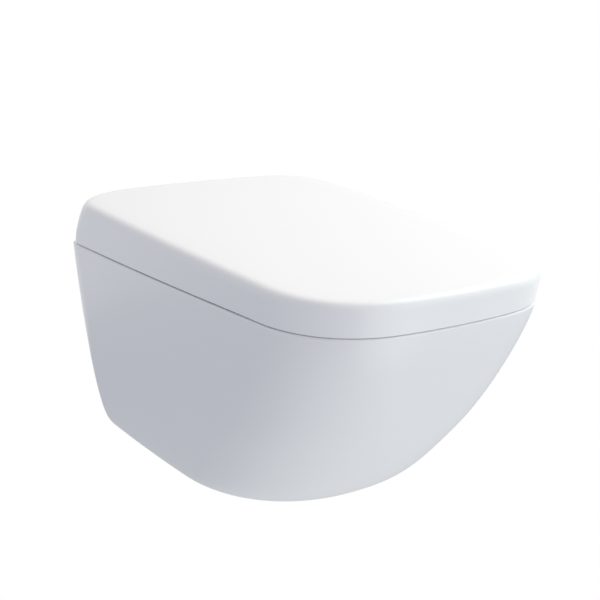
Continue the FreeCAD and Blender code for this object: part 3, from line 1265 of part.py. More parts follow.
def odour_side():
    body = doc.addObject("PartDesign::Body", "intake_grille")
    frame = sketch_on(body, "grille_frame", "XZ_Plane")
    low, high = "-vent_drop + play", "vent_top - play"
    left, right = "-vent_far + play", "-vent_near - play"
    polygon(frame, [(left, low), (right, low), (right, high), (left, high)])
    frame.setExpression("AttachmentOffset.Base.z", formula("bay_front - bay_wall"))
    plate = pad(body, "grille_plate", frame, "bay_wall", midplane=False)
    doc.recompute()
    slot = sketch_on(body, "grille_slot", "XZ_Plane")
    polygon(slot, [(f"{left} + 2", f"{low} + 2"), (f"{left} + 4", f"{low} + 2"),
                   (f"{left} + 4", f"{high} - 2"), (f"{left} + 2", f"{high} - 2")])
    slot.setExpression("AttachmentOffset.Base.z", formula("bay_front - bay_wall - 1"))
    opening = pocket(body, "grille_slot_cut", slot, "bay_wall + 2", midplane=False)
    opening.Reversed = True
    doc.recompute()
    row = body.newObject("PartDesign::LinearPattern", "grille_slots")
    row.Originals = [opening]
    row.Direction = (frame, ["H_Axis"])
    row.setExpression("Length", formula("vent_far - vent_near - 8"))
    row.Occurrences = 7
    body.Tip = row
    body.setExpression("Placement.Base.z", formula("rim_height"))
    node(body, "intake_grille")

    middle = ("-(vent_near + vent_far) / 2", "-tub_front + 17")
    fan_floor = "plate + odour_duct + play"
    hole = rod("odour_hole", (*middle, up("plate + odour_duct")), "odour_fan / 2", "8", "Z")
    pipe = duct("odour_duct_blank", -1, "plate + odour_duct", "-tub_front + 36")
    node(cut("odour_duct", pipe, hole), "odour_duct")
    frame_block = block("fan_block", (*middle, up(f"{fan_floor} + 6")), ("32", "32", "12"))
    ring = rod("fan_opening", (*middle, up(f"{fan_floor} + 6")), "odour_fan / 2 + 1", "14", "Z")
    arms = [block(f"fan_arm_{axis}", (*middle, up(f"{fan_floor} + 1")), extent)
            for axis, extent in (("x", ("30", "3", "2")), ("y", ("3", "30", "2")))]
    hub = rod("fan_hub", (*middle, up(f"{fan_floor} + 2.5")), "6", "5", "Z")
    node(join("odour_fan_frame", cut("fan_ring", frame_block, ring), *arms, hub),
         "odour_fan_frame")
    rotor = doc.addObject("PartDesign::Body", "odour_fan_rotor")
    cap = sketch_on(rotor, "rotor_cap", "XY_Plane")
    cap.addGeometry(Part.Circle(Vector(), Vector(0, 0, 1), 6))
    cap.addConstraint(Sketcher.Constraint("Coincident", 0, 3, -1, 1))
    bind(cap, "Radius", 0, "6")
    pad(rotor, "rotor_hub", cap, "5", midplane=False)
    wing = sketch_on(rotor, "rotor_wing", "XY_Plane")
    polygon(wing, [("5", "-2.6"), ("odour_fan / 2 - play", "-4.5"),
                   ("odour_fan / 2 - play", "3.4"), ("5", "2.6")])
    vane = pad(rotor, "rotor_vane", wing, "1.4", midplane=False)
    doc.recompute()
    wings = body_pattern(rotor, "rotor_wings", vane, cap, 7)
    rotor.Tip = wings
    place(rotor, *middle, up(f"{fan_floor} + 5.6"))
    node(rotor, "odour_fan_rotor")
    node(block("odour_filter", (middle[0], "-tub_front - 8", up("plate + odour_duct / 2")),
               ("vent_far - vent_near - 0.6", "16", "odour_duct - 2 * duct_wall - 0.4")),
         "odour_filter")


def body_pattern(body, name, feature, sketch, count):
    ring = body.newObject("PartDesign::PolarPattern", name)
    ring.Originals = [feature]
    ring.Axis = (sketch, ["N_Axis"])
    ring.Angle = 360
    ring.Occurrences = count
    return ring


# ---- electrics ----

def electrics():
    node(cut("control_box",
             slab("control_outside", ("-control_half", "control_half"),
                  ("-unit_back - cover_wall - 23", "-unit_back - cover_wall - 5"),
                  (up("plate"), up("unit_top - cover_wall - 6"))),
             slab("control_inside", ("-control_half + 1.5", "control_half - 1.5"),
                  ("-unit_back - cover_wall - 21.5", "-unit_back - cover_wall - 6.5"),
                  (up("plate + 1.5"), up("unit_top - cover_wall - 7.5")))), "control_box")
    board_y = "-unit_back - cover_wall - 10"
    board = slab("board_plate", ("-control_half + 2", "control_half - 2"),
                 (f"{board_y} - 1.6", board_y), (up("plate + 1.5"), up("unit_top - cover_wall - 9")))
    chips = [slab(f"board_chip_{number}", (f"{x} - {half}", f"{x} + {half}"),
                  (f"{board_y} - {deep}", f"{board_y} - 1.6"), (up(low), up(high)))
             for number, (x, half, deep, low, high) in enumerate((
                 ("-28", "6", "7", "10", "24"), ("-8", "7", "3.2", "12", "26"),
                 ("14", "4", "6", "10", "20"), ("30", "5", "8", "12", "30")))]
    node(join("control_board", board, *chips), "control_board")
    supply = slab("supply_case", ("tub_near + tub_wall + 6", "tub_far - tub_wall - 6"),
                  ("-tub_front + tub_wall + 4", "-tub_back - tub_wall - 14"),
                  (up("-tub_drop + tub_wall"), up("-tub_drop + tub_wall + 20")))
    ribs = [slab(f"supply_groove_{number}",
                 ("tub_near + tub_wall + 12", "tub_far - tub_wall - 12"),
                 (f"-tub_front + tub_wall + 12 + {number} * 9",
                  f"-tub_front + tub_wall + 15 + {number} * 9"),
                 (up("-tub_drop + tub_wall + 17"), up("-tub_drop + tub_wall + 21")))
            for number in range(7)]
    node(cut("power_supply", supply, *ribs), "power_supply")
    port = ("supply_offset", up("-supply_drop"))
    gland = join("gland_blank",
                 rod("gland_tube", (port[0], "-(tub_back + tub_wall + 4) / 2 - 0.5", port[1]),
                     "port_neck / 2", "tub_back + tub_wall + 3", "Y"),
                 rod("gland_nut", (port[0], "-tub_back - tub_wall - play - 2", port[1]),
                     "13", "4", "Y"))
    node(cut("cable_gland", gland, rod("gland_way", (port[0], "-15", port[1]), "4", "60", "Y")),
         "cable_gland")
    bolts = []
    for side, name in ((-1, "left"), (1, "right")):
        spot = (f"{side} * deck_bolt_offset", "-deck_bolt_back")
        bolts.append(join(f"deck_bolt_{name}",
                          rod(f"deck_bolt_head_{name}", (*spot, up("plate + 2")), "6.5", "4", "Z"),
                          rod(f"deck_bolt_shank_{name}", (*spot, up("plate / 2 - 5")), "deck_bolt / 2",
                              "plate + 10", "Z")))
    node(group("deck_bolts", *bolts), "deck_bolts")


def buttons():
    row = ["button_first + " + str(number) + " * button_pitch" for number in range(4)]
    y = "-button_back"
    for number, x in enumerate(row, start=1):
        cap = rod(f"button_cap_{number}", (x, y, up("unit_top - cover_wall + 2 - play / 2")),
                  "button_width / 2", "cover_wall + 1.5 + play", "Z")
        rim = rod(f"button_rim_{number}", (x, y, up("unit_top - cover_wall - play - 1")),
                  "button_width / 2 + 1.5", "2", "Z")
        node(join(f"push_button_{number}", cap, rim), f"push_button_{number}")
    low = "unit_top - cover_wall - play - 2 - 1.2 - 1.2"
    board = slab("button_plate", ("button_first - 9", "button_first + 3 * button_pitch + 9"),
                 (f"{y} - 9", f"{y} + 9"), (up(f"{low} - 1.6"), up(low)))
    posts = [rod(f"button_post_{number}", (x, f"{y} + 7", up(f"({low} + unit_top - cover_wall) / 2")),
                 "1.5", f"unit_top - cover_wall - ({low})", "Z")
             for number, x in enumerate(("button_first - 7.2", "button_first + 3 * button_pitch + 7.2"))]
    switches = [rod(f"switch_{number}", (x, y, up(f"{low} + 0.6")), "3", "1.2", "Z")
                for number, x in enumerate(row, start=1)]
    node(join("button_board", board, *posts, *switches), "button_board")


water_side()
make_hoses()
air_side()
odour_side()
electrics()
buttons()


def write_parts():
    doc.recompute()
    for thing in doc.Objects:
        if "Invalid" in thing.State or "Error" in thing.State:
            raise RuntimeError(f"{thing.Label} failed: {thing.State}")
    for piece in nodes:
        if piece.Shape.isNull() or not piece.Shape.isValid():
            raise RuntimeError(f"{piece.Label} has no valid shape")
    os.makedirs("parts", exist_ok=True)
    for piece in nodes:
        piece.Shape.exportStep(f"parts/{piece.Label}.step")
        print(piece.Label, len(piece.Shape.Solids), round(piece.Shape.Volume))


write_parts()
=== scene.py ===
# %% [markdown]
# A wall-hung toilet seen from the front left and a little above. The solids come
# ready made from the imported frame: every node already sits in its place, so this
# lesson sets up the picture first and then dresses each piece in its finish. Three
# pieces are modelled here: the lid's skin, the sheet inside it, and the lip in the bowl.

# %% Load the frame
import json
import math

import bmesh
import bpy
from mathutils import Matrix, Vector


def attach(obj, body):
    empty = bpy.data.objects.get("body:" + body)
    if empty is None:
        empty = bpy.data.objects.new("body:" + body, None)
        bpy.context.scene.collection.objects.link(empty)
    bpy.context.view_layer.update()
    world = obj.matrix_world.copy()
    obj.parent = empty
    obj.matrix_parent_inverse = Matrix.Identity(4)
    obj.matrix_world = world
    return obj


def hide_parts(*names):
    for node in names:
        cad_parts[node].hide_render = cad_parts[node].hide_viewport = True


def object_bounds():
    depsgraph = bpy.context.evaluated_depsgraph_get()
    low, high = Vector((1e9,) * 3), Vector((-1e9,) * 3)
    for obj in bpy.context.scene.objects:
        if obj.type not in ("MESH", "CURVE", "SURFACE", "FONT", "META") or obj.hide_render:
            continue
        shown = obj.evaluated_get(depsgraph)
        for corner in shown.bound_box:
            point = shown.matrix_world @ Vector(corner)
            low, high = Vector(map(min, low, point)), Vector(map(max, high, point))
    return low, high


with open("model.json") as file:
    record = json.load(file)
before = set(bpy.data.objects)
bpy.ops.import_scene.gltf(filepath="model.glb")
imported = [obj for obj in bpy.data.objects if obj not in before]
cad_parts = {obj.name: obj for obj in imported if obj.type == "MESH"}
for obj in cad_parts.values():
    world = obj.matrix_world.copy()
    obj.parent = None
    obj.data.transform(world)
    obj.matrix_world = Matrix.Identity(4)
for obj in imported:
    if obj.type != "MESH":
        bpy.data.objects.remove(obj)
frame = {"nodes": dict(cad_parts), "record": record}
cad_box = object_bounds()
nodes = frame["nodes"]
print("nodes", len(nodes), "box", [[round(v, 4) for v in corner] for corner in cad_box])

# %% [markdown]
# The camera was fitted to the outline in the photograph. It stands about 1.3 metres
# from the middle of the object, a third of the way round from straight in front to the
# side on the viewer's left, and looks down by about 15 degrees through a short telephoto
# lens. A camera is placed by its position, its heading and its pitch, so those three are
# named and the rotation is built from them. The Standard view transform keeps white as
# it is.

# %% Camera
CAMERA_PLACE = (-0.66683, -1.32825, 0.37899)
CAMERA_HEADING = math.radians(-32.66)
CAMERA_PITCH = math.radians(90 - 15.49)
SENSOR_WIDTH = 36
FOCAL_LENGTH = 62.2
camera_data = bpy.data.cameras.new("camera")
camera_data.sensor_width = SENSOR_WIDTH
camera_data.lens = FOCAL_LENGTH
camera = bpy.data.objects.new("camera", camera_data)
camera.location = CAMERA_PLACE
camera.rotation_euler = (CAMERA_PITCH, 0, CAMERA_HEADING)
bpy.context.collection.objects.link(camera)
bpy.context.scene.camera = camera
bpy.context.scene.view_settings.view_transform = "Standard"
gaze = camera.rotation_euler.to_matrix() @ Vector((0, 0, -1))
print("camera looks along", [round(v, 3) for v in gaze])

# %% [markdown]
# A wall-hung pan has no floor under it in the picture. A pale floor still belongs to
# the studio: it lies well below the object and sends some light back up to the pan's
# underside. A Light Path node tells the rays apart, so that the floor is a plain matt
# surface to the light and glows white to the camera.

# %% Studio floor
FLOOR_DROP = 1.30
FLOOR_HALF_WIDTH = 4
FLOOR_GREY = (0.86, 0.86, 0.86, 1)
WHITE = (1, 1, 1, 1)
floor_mesh = bpy.data.meshes.new("studio_floor")
builder = bmesh.new()
bmesh.ops.create_grid(builder, x_segments=1, y_segments=1, size=FLOOR_HALF_WIDTH)
bmesh.ops.translate(builder, verts=builder.verts, vec=(0, 0, cad_box[0][2] - FLOOR_DROP))
builder.to_mesh(floor_mesh)
builder.free()
floor = bpy.data.objects.new("studio_floor", floor_mesh)
bpy.context.collection.objects.link(floor)


def new_material(name):
    """An empty material and its node tree."""
    material = bpy.data.materials.new(name)
    material.use_nodes = True
    material.node_tree.nodes.clear()
    return material, material.node_tree


def shader_node(tree, kind, **settings):
    """One node of this kind with its settings, such as a Math node's operation."""
    made = tree.nodes.new(kind)
    for key, value in settings.items():
        setattr(made, key, value)
    return made


floor_material, tree = new_material("studio_white")
diffuse = shader_node(tree, "ShaderNodeBsdfDiffuse")
diffuse.inputs["Color"].default_value = FLOOR_GREY
glow = shader_node(tree, "ShaderNodeEmission")
glow.inputs["Color"].default_value = WHITE
mix = shader_node(tree, "ShaderNodeMixShader")
rays = shader_node(tree, "ShaderNodeLightPath")
result = shader_node(tree, "ShaderNodeOutputMaterial")
tree.links.new(rays.outputs["Is Camera Ray"], mix.inputs[0])
tree.links.new(diffuse.outputs[0], mix.inputs[1])
tree.links.new(glow.outputs[0], mix.inputs[2])
tree.links.new(mix.outputs[0], result.inputs["Surface"])
floor_mesh.materials.append(floor_material)
print("floor", 2 * FLOOR_HALF_WIDTH, "m wide,", FLOOR_DROP, "m under the object")

# %% [markdown]
# The world is the plain white behind the object. One background is full white, and it is
# what shows to the camera, in reflections and through clear things. The other is dimmer
# and slightly blue, and it lights matt surfaces. Two Maximum nodes join the three kinds
# of ray that meet the white one.

# %% World
AMBIENT_COLOUR = (0.86, 0.90, 1.0, 1)
AMBIENT_STRENGTH = 0.588
world = bpy.data.worlds.new("studio")
bpy.context.scene.world = world
world.use_nodes = True
world.node_tree.nodes.clear()
tree = world.node_tree
ambient = shader_node(tree, "ShaderNodeBackground")
ambient.inputs["Color"].default_value = AMBIENT_COLOUR
ambient.inputs["Strength"].default_value = AMBIENT_STRENGTH
white = shader_node(tree, "ShaderNodeBackground")
white.inputs["Color"].default_value = WHITE
rays = shader_node(tree, "ShaderNodeLightPath")
seen_or_mirrored = shader_node(tree, "ShaderNodeMath", operation="MAXIMUM")
shows_white = shader_node(tree, "ShaderNodeMath", operation="MAXIMUM")
mix = shader_node(tree, "ShaderNodeMixShader")
result = shader_node(tree, "ShaderNodeOutputWorld")
tree.links.new(rays.outputs["Is Camera Ray"], seen_or_mirrored.inputs[0])
tree.links.new(rays.outputs["Is Glossy Ray"], seen_or_mirrored.inputs[1])
tree.links.new(seen_or_mirrored.outputs[0], shows_white.inputs[0])
tree.links.new(rays.outputs["Is Transmission Ray"], shows_white.inputs[1])
tree.links.new(shows_white.outputs[0], mix.inputs[0])
tree.links.new(ambient.outputs[0], mix.inputs[1])
tree.links.new(white.outputs[0], mix.inputs[2])
tree.links.new(mix.outputs[0], result.inputs["Surface"])
print("ambient light", AMBIENT_STRENGTH)

# %% [markdown]
# Three large square lamps model the forms: a warm one overhead for the lid's top, a
# strong one high on the right for the front, and a weak one low in front for the pan's
# underside. Large lamps give soft edges to light and shade. Light adds up, so each lamp
# was rendered alone, and the levels were solved so that the sum comes close to the
# photograph.

# %% Lamps
LIT_MIDDLE = Vector((0, -0.29, 0))


def soft_lamp(name, place, width, watts, colour):
    """A square lamp with its face turned to the middle of the object."""
    lamp = bpy.data.lights.new(name, "AREA")
    lamp.shape = "RECTANGLE"
    lamp.size = width
    lamp.size_y = width
    lamp.energy = watts
    lamp.color = colour
    holder = bpy.data.objects.new(name, lamp)
    holder.location = place
    facing = LIT_MIDDLE - Vector(place)
    holder.rotation_euler = facing.to_track_quat("-Z", "Y").to_euler()
    bpy.context.collection.objects.link(holder)


soft_lamp("overhead", (0.1, -0.5, 1.7), width=2.0, watts=9.0, colour=(1.0, 0.74, 0.57))
soft_lamp("high_right", (1.2, -1.2, 1.5), width=1.6, watts=23.2, colour=(0.90, 1.0, 0.93))
soft_lamp("low_front", (0.2, -1.8, -0.9), width=1.4, watts=7.2, colour=(1.0, 0.99, 0.95))
print("lamps", [lamp.name for lamp in bpy.data.lights])

# %% [markdown]
# Nearly everything here is white, so the finishes differ by how they shine more than by
# their colour. Four effects are shared, and each becomes a shader group: the faint
# unevenness of a glazed skin, that of a moulded skin, the drawn lines of brushed metal,
# and the pores of cut foam. They differ only in scale, depth and stretch, so one function
# makes all four. Each group only puts out a colour, a roughness and a normal, so the
# shader itself stays in the material.

# %% Shared effects
SLOW_DETAIL = 3.0
QUICK_DETAIL = 4.0


def effect_group(name, values):
    """A node group with these named inputs, and the Object coordinates that it reads."""
    group = bpy.data.node_groups.new(name, "ShaderNodeTree")
    for label, default in values.items():
        kind = "NodeSocketColor" if isinstance(default, tuple) else "NodeSocketFloat"
        socket = group.interface.new_socket(label, in_out="INPUT", socket_type=kind)
        socket.default_value = default
    for label, kind in (("Color", "NodeSocketColor"), ("Roughness", "NodeSocketFloat"),
                        ("Normal", "NodeSocketVector")):
        group.interface.new_socket(label, in_out="OUTPUT", socket_type=kind)
    entry = group.nodes.new("NodeGroupInput")
    leave = group.nodes.new("NodeGroupOutput")
    place = group.nodes.new("ShaderNodeTexCoord").outputs["Object"]
    return group, entry, leave, place


def noise_mask(tree, place, scale, detail, stretch=None):
    """A noise between 0 and 1; stretch makes it that much finer along each axis."""
    if stretch:
        mapping = tree.nodes.new("ShaderNodeMapping")
        mapping.inputs["Scale"].default_value = stretch
        tree.links.new(place, mapping.inputs["Vector"])
        place = mapping.outputs["Vector"]
    noise = tree.nodes.new("ShaderNodeTexNoise")
    noise.inputs["Detail"].default_value = detail
    noise.inputs["Scale"].default_value = scale
    tree.links.new(place, noise.inputs["Vector"])
    return noise.outputs["Fac"]


def around(tree, mask, middle, spread):
    """middle + spread * (mask - 0.5), where all three are sockets."""
    centred = shader_node(tree, "ShaderNodeMath", operation="SUBTRACT")
    tree.links.new(mask, centred.inputs[0])
    centred.inputs[1].default_value = 0.5
    scaled = shader_node(tree, "ShaderNodeMath", operation="MULTIPLY_ADD")
    tree.links.new(centred.outputs[0], scaled.inputs[0])
    tree.links.new(spread, scaled.inputs[1])
    tree.links.new(middle, scaled.inputs[2])
    return scaled.outputs[0]


def tinted(tree, colour, mask, amount):
    """The colour, darker by up to this share of itself where the mask is low."""
    shade = shader_node(tree, "ShaderNodeMath", operation="MULTIPLY_ADD")
    tree.links.new(mask, shade.inputs[0])
    tree.links.new(amount, shade.inputs[1])
    rest = shader_node(tree, "ShaderNodeMath", operation="SUBTRACT")
    rest.inputs[0].default_value = 1
    tree.links.new(amount, rest.inputs[1])
    tree.links.new(rest.outputs[0], shade.inputs[2])
    scaled = shader_node(tree, "ShaderNodeVectorMath", operation="SCALE")
    tree.links.new(colour, scaled.inputs[0])
    tree.links.new(shade.outputs[0], scaled.inputs["Scale"])
    return scaled.outputs[0]


def bumped(tree, mask, depth):
    """A normal from a mask whose full height is depth, in metres."""
    bump = tree.nodes.new("ShaderNodeBump")
    bump.inputs["Strength"].default_value = 1
    tree.links.new(depth, bump.inputs["Distance"])
    tree.links.new(mask, bump.inputs["Height"])
    return bump.outputs["Normal"]


def finish_group(name, coarse, fine, depth, stretch=None):
    """Colour shade from the coarse noise, gloss and relief from the fine one."""
    group, entry, leave, place = effect_group(name, {
        "Color": (0.9, 0.9, 0.9, 1), "Shade": 0.02, "Roughness": 0.2, "Spread": 0.05,
        "Depth": depth})
    slow = noise_mask(group, place, coarse, SLOW_DETAIL)
    quick = noise_mask(group, place, fine, QUICK_DETAIL, stretch)
    group.links.new(tinted(group, entry.outputs["Color"], slow, entry.outputs["Shade"]),
                    leave.inputs["Color"])
    group.links.new(around(group, quick, entry.outputs["Roughness"], entry.outputs["Spread"]),
                    leave.inputs["Roughness"])
    group.links.new(bumped(group, quick, entry.outputs["Depth"]), leave.inputs["Normal"])
    return group


glaze_skin = finish_group("glaze_skin", coarse=3.0, fine=55.0, depth=0.00004)
moulded_skin = finish_group("moulded_skin", coarse=6.0, fine=900.0, depth=0.000006)
drawn_lines = finish_group("drawn_lines", coarse=20.0, fine=120.0, depth=0.00001,
                           stretch=(1.0, 40.0, 40.0))
cut_foam = finish_group("cut_foam", coarse=40.0, fine=700.0, depth=0.0006)
print("effects", [group.name for group in bpy.data.node_groups])

# %% [markdown]
# The pan is glazed ceramic, the lid, the seat and the unit's cover are white plastic, and
# what lies under the cover is plainer plastic and metal. Each finish is one Principled
# shader fed by its effect. What is the same all over, such as a clear coat or how much of
# the surface is metal, is set on the shader itself. The frame's record names a finish for
# each node, so a loop can hand them out.

# %% Finishes
def finish(name, effect, colour, roughness, shade, spread=0.05, depth=None, **fixed):
    """A material: the effect's colour, roughness and normal on a Principled shader."""
    material, tree = new_material(name)
    shader = shader_node(tree, "ShaderNodeBsdfPrincipled")
    group = shader_node(tree, "ShaderNodeGroup", node_tree=effect)
    group.inputs["Color"].default_value = (*colour, 1)
    group.inputs["Shade"].default_value = shade
    group.inputs["Roughness"].default_value = roughness
    group.inputs["Spread"].default_value = spread
    if depth is not None:
        group.inputs["Depth"].default_value = depth
    tree.links.new(group.outputs["Color"], shader.inputs["Base Color"])
    tree.links.new(group.outputs["Roughness"], shader.inputs["Roughness"])
    tree.links.new(group.outputs["Normal"], shader.inputs["Normal"])
    for label, value in fixed.items():
        shader.inputs[label.replace("_", " ")].default_value = value
    output = shader_node(tree, "ShaderNodeOutputMaterial")
    tree.links.new(shader.outputs[0], output.inputs["Surface"])
    return material


finishes = {
    "glaze": finish("glazed_ceramic", glaze_skin, (0.86, 0.865, 0.87), roughness=0.34,
                    shade=0.015, spread=0.04, Coat_Weight=0.22, Coat_Roughness=0.16),
    "lid_white": finish("satin_lid_plastic", moulded_skin, (0.88, 0.885, 0.89),
                        roughness=0.30, shade=0.01),
    "seat_white": finish("gloss_seat_plastic", moulded_skin, (0.87, 0.875, 0.88),
                         roughness=0.22, shade=0.01),
    "unit_white": finish("unit_cover_plastic", moulded_skin, (0.83, 0.835, 0.84),
                         roughness=0.32, shade=0.015),
    "unit_grey": finish("grey_moulding", moulded_skin, (0.42, 0.43, 0.45),
                        roughness=0.45, shade=0.04),
    "dark_plastic": finish("dark_moulding", moulded_skin, (0.03, 0.03, 0.033),
                           roughness=0.42, shade=0.10),
    "natural_plastic": finish("natural_moulding", moulded_skin, (0.74, 0.71, 0.63),
                              roughness=0.40, shade=0.04, Subsurface_Weight=0.05),
    "bumper_grey": finish("soft_bumper", moulded_skin, (0.45, 0.46, 0.47),
                          roughness=0.65, shade=0.06),
    "stainless": finish("stainless_steel", drawn_lines, (0.62, 0.63, 0.64),
                        roughness=0.28, shade=0.06, Metallic=1.0),
    "bright_metal": finish("polished_wand", drawn_lines, (0.80, 0.80, 0.81), roughness=0.10,
                           shade=0.02, spread=0.03, depth=0.000001, Metallic=1.0),
    "motor_steel": finish("rolled_motor_can", drawn_lines, (0.45, 0.46, 0.47),
                          roughness=0.34, shade=0.08, Metallic=1.0),
    "foil": finish("heater_foil", drawn_lines, (0.78, 0.78, 0.79), roughness=0.25,
                   shade=0.05, spread=0.15, depth=0.00005, Metallic=1.0),
    "brass": finish("turned_brass", drawn_lines, (0.72, 0.52, 0.24), roughness=0.26,
                    shade=0.08, Metallic=1.0),
    "hose_clear": finish("soft_hose", moulded_skin, (0.72, 0.75, 0.77), roughness=0.35,
                         shade=0.04),
    "board_green": finish("lacquered_board", moulded_skin, (0.02, 0.16, 0.07),
                          roughness=0.25, shade=0.10),
    "filter_black": finish("carbon_foam", cut_foam, (0.02, 0.02, 0.02), roughness=0.9,
                           shade=0.3),
}
for entry in frame["record"]["subparts"]:
    for slot in nodes[entry["node"]].material_slots:
        slot.material = finishes[entry["material_slot"]]

# %% [markdown]
# The lid is one moulded cover, and its edge rolls over softly, also round the two rear
# corners. The solid's walls stop short there, so rounding the solid isn't enough, and the
# skin is made anew from the solid's own outline. Seen from above this has four stretches,
# a straight rear and three slightly bowed ones, joined by four soft corners. It flares to
# the sides and the front as it rises, while its rear leans forward. Each stretch and each
# corner is a Bezier curve, given by its poles. Points are spread along these eight curves,
# and each is the foot of one column of the skin. Sizes are in millimetres until the
# points go into a mesh.

# %% Lid outline
DEPTH = 585
BACK_HALF = 186
FRONT_HALF = 161
SIDE_BOW = 4.9
FRONT_BOW = 20.9
FRONT_CORNER = 90
CORNER_FULLNESS = 0.62
LID_TOP = 100.0
FLARE_SIDE = 4.5
FLARE_FRONT = 18
LEAN_BACK = 24
SWELL_POWER = 1.5
BACK_CORNER = 26
BACK_CORNER_TOP = 125
STRETCH_POINTS = (22, 16, 18, 16, 22, 18, 20, 18)


def mixed(low, high, share):
    """The value at a share of the way from low to high."""
    return low + (high - low) * share


def pole_curve(poles, share):
    """The point at a share of a curve with these poles."""
    while len(poles) > 1:
        poles = [mixed(one, two, share) for one, two in zip(poles, poles[1:])]
    return poles[0]


def bowed(first, middle, last, start, end):
    """Poles of one stretch of the parabola with these three poles."""
    def between(one, two):
        return (first * ((1 - one) * (1 - two)) + middle * ((1 - one) * two + (1 - two) * one)
                + last * (one * two))
    return [between(start, start), between(start, end), between(end, end)]


def corner(before, after):
    """A cubic that leaves one stretch and meets the next along their tangents."""
    start, end = before[-1], after[0]
    leave, arrive = before[-1] - before[-2], after[0] - after[1]
    gap = end - start
    share = (gap.x * arrive.y - gap.y * arrive.x) / (leave.x * arrive.y - leave.y * arrive.x)
    tip = start + leave * share
    return [start, mixed(start, tip, CORNER_FULLNESS), mixed(end, tip, CORNER_FULLNESS), end]


def lid_stretches(height):
    """The lid's outline at a height over the rim, as eight curves end to end."""
    share = height / LID_TOP
    swell = max(share, 0) ** SWELL_POWER
    back = -LEAN_BACK * swell
    shoulder = -(DEPTH + FLARE_FRONT * share - FRONT_BOW)
    half_back = BACK_HALF + FLARE_SIDE * share
    half_front = FRONT_HALF + FLARE_SIDE * share
    rear_corner = mixed(BACK_CORNER, BACK_CORNER_TOP, swell)
    run = back - shoulder
    back_left, front_left = Vector((-half_back, back)), Vector((-half_front, shoulder))
    side_pole = (back_left + front_left) / 2 - Vector((2 * SIDE_BOW, 0))
    side = bowed(back_left, side_pole, front_left, rear_corner / run, 1 - FRONT_CORNER / run)
    bend = FRONT_CORNER / (2 * half_front)
    front_pole = Vector((0, shoulder - 2 * FRONT_BOW))
    front = bowed(front_left, front_pole, Vector((half_front, shoulder)), bend, 1 - bend)
    other = [Vector((-spot.x, spot.y)) for spot in reversed(side)]
    rear = [Vector((half_back - rear_corner, back)), Vector((rear_corner - half_back, back))]
    return [side, corner(side, front), front, corner(front, other),
            other, corner(other, rear), rear, corner(rear, side)]


COLUMNS = [(stretch, step / count) for stretch, count in enumerate(STRETCH_POINTS)
           for step in range(count)]


def outline_spot(column, height):
    """The point of the outline where a column stands, at a height over the rim."""
    stretch, share = COLUMNS[column]
    return pole_curve(lid_stretches(height)[stretch], share)


print("columns round the lid", len(COLUMNS))

# %% [markdown]
# The lid's top is pillowed: it is highest along the middle, falls off near the sides, and
# rises to the back. Its section is a curve with five poles, so the height over a given
# place is found by halving the curve again and again. The crease, where the flaring side
# would meet the top, is found by going back and forth: the height of the top at a spot
# gives a new spot on the side, which gives a new height.

# %% Lid top and crease
LID_FRONT_HEIGHT = 33
LID_BACK_HEIGHT = 62
CROWN_FRONT = 6
CROWN_BACK = 10
CROWN_OVER = 14
CROWN_HALF = BACK_HALF + CROWN_OVER
CROWN_SHOULDER = 0.8
HALVINGS = 24
CREASE_START = 45.0
CREASE_ROUNDS = 7


def crown(spot):
    """The height of the pillowed top over the rim, above a point of the plan."""
    share = (spot.y + DEPTH) / DEPTH
    edge = mixed(LID_FRONT_HEIGHT, LID_BACK_HEIGHT, share)
    rise = mixed(CROWN_FRONT, CROWN_BACK, share)
    heights = [edge, edge + rise, edge + rise, edge + rise, edge]
    across = [-CROWN_HALF, -CROWN_SHOULDER * CROWN_HALF, 0, CROWN_SHOULDER * CROWN_HALF,
              CROWN_HALF]
    low, high = 0.0, 1.0
    for _ in range(HALVINGS):
        middle = (low + high) / 2
        if pole_curve(across, middle) < spot.x:
            low = middle
        else:
            high = middle
    return pole_curve(heights, low)


def crease_height(column):
    """The height at which a column's side would meet the pillowed top."""
    height = CREASE_START
    for _ in range(CREASE_ROUNDS):
        height = crown(outline_spot(column, height))
    return height


creases = []
for column in range(len(COLUMNS)):
    height = crease_height(column)
    creases.append((outline_spot(column, height), height))
print("crease from", round(min(height for _, height in creases), 1),
      "to", round(max(height for _, height in creases), 1), "mm over the rim")

# %% [markdown]
# The skin is built in rows, as rings of points from the foot upwards, with one point for
# each column. The skirt flares as it rises, the rolled edge rounds off the crease on a
# curve with three poles, and the top runs in to the middle. The seam over the rim gets
# narrower towards the front, where it is faint in the photograph.

# %% Rows of the lid skin
RIM = 80.0
LID_MIDDLE = Vector((0, -300))
LID_SEAM = 2.0
LID_FRONT_SEAM = 0.7
SEAM_NARROWS = (440.0, 560.0)
LID_ROLL = 11.0
SKIRT_ROWS = 10
ROLL_ROWS = 8
TOP_SHARES = (0.06, 0.14, 0.24, 0.36, 0.5, 0.64, 0.78, 0.9)


def seam_height(spot):
    """How far over the rim the skirt's foot stands, below a spot of the crease."""
    near, far = SEAM_NARROWS
    narrow = min(1, max(0, (-spot.y - near) / (far - near)))
    return mixed(LID_SEAM, LID_FRONT_SEAM, narrow)


def skirt_point(column, share):
    """A column's point at a share of the way from the skirt's foot to the rolled edge."""
    spot, crease = creases[column]
    height = mixed(seam_height(spot), crease - LID_ROLL, share)
    return Vector((*outline_spot(column, height), RIM + height))


def inset_spots(distance):
    """Each column's spot on the crease, moved in across the outline."""
    spots = []
    for column, (spot, _) in enumerate(creases):
        along = creases[(column + 1) % len(creases)][0] - creases[column - 1][0]
        inward = Vector((-along.y, along.x)).normalized()
        if inward.dot(LID_MIDDLE - spot) < 0:
            inward.negate()
        spots.append(spot + inward * distance)
    return spots


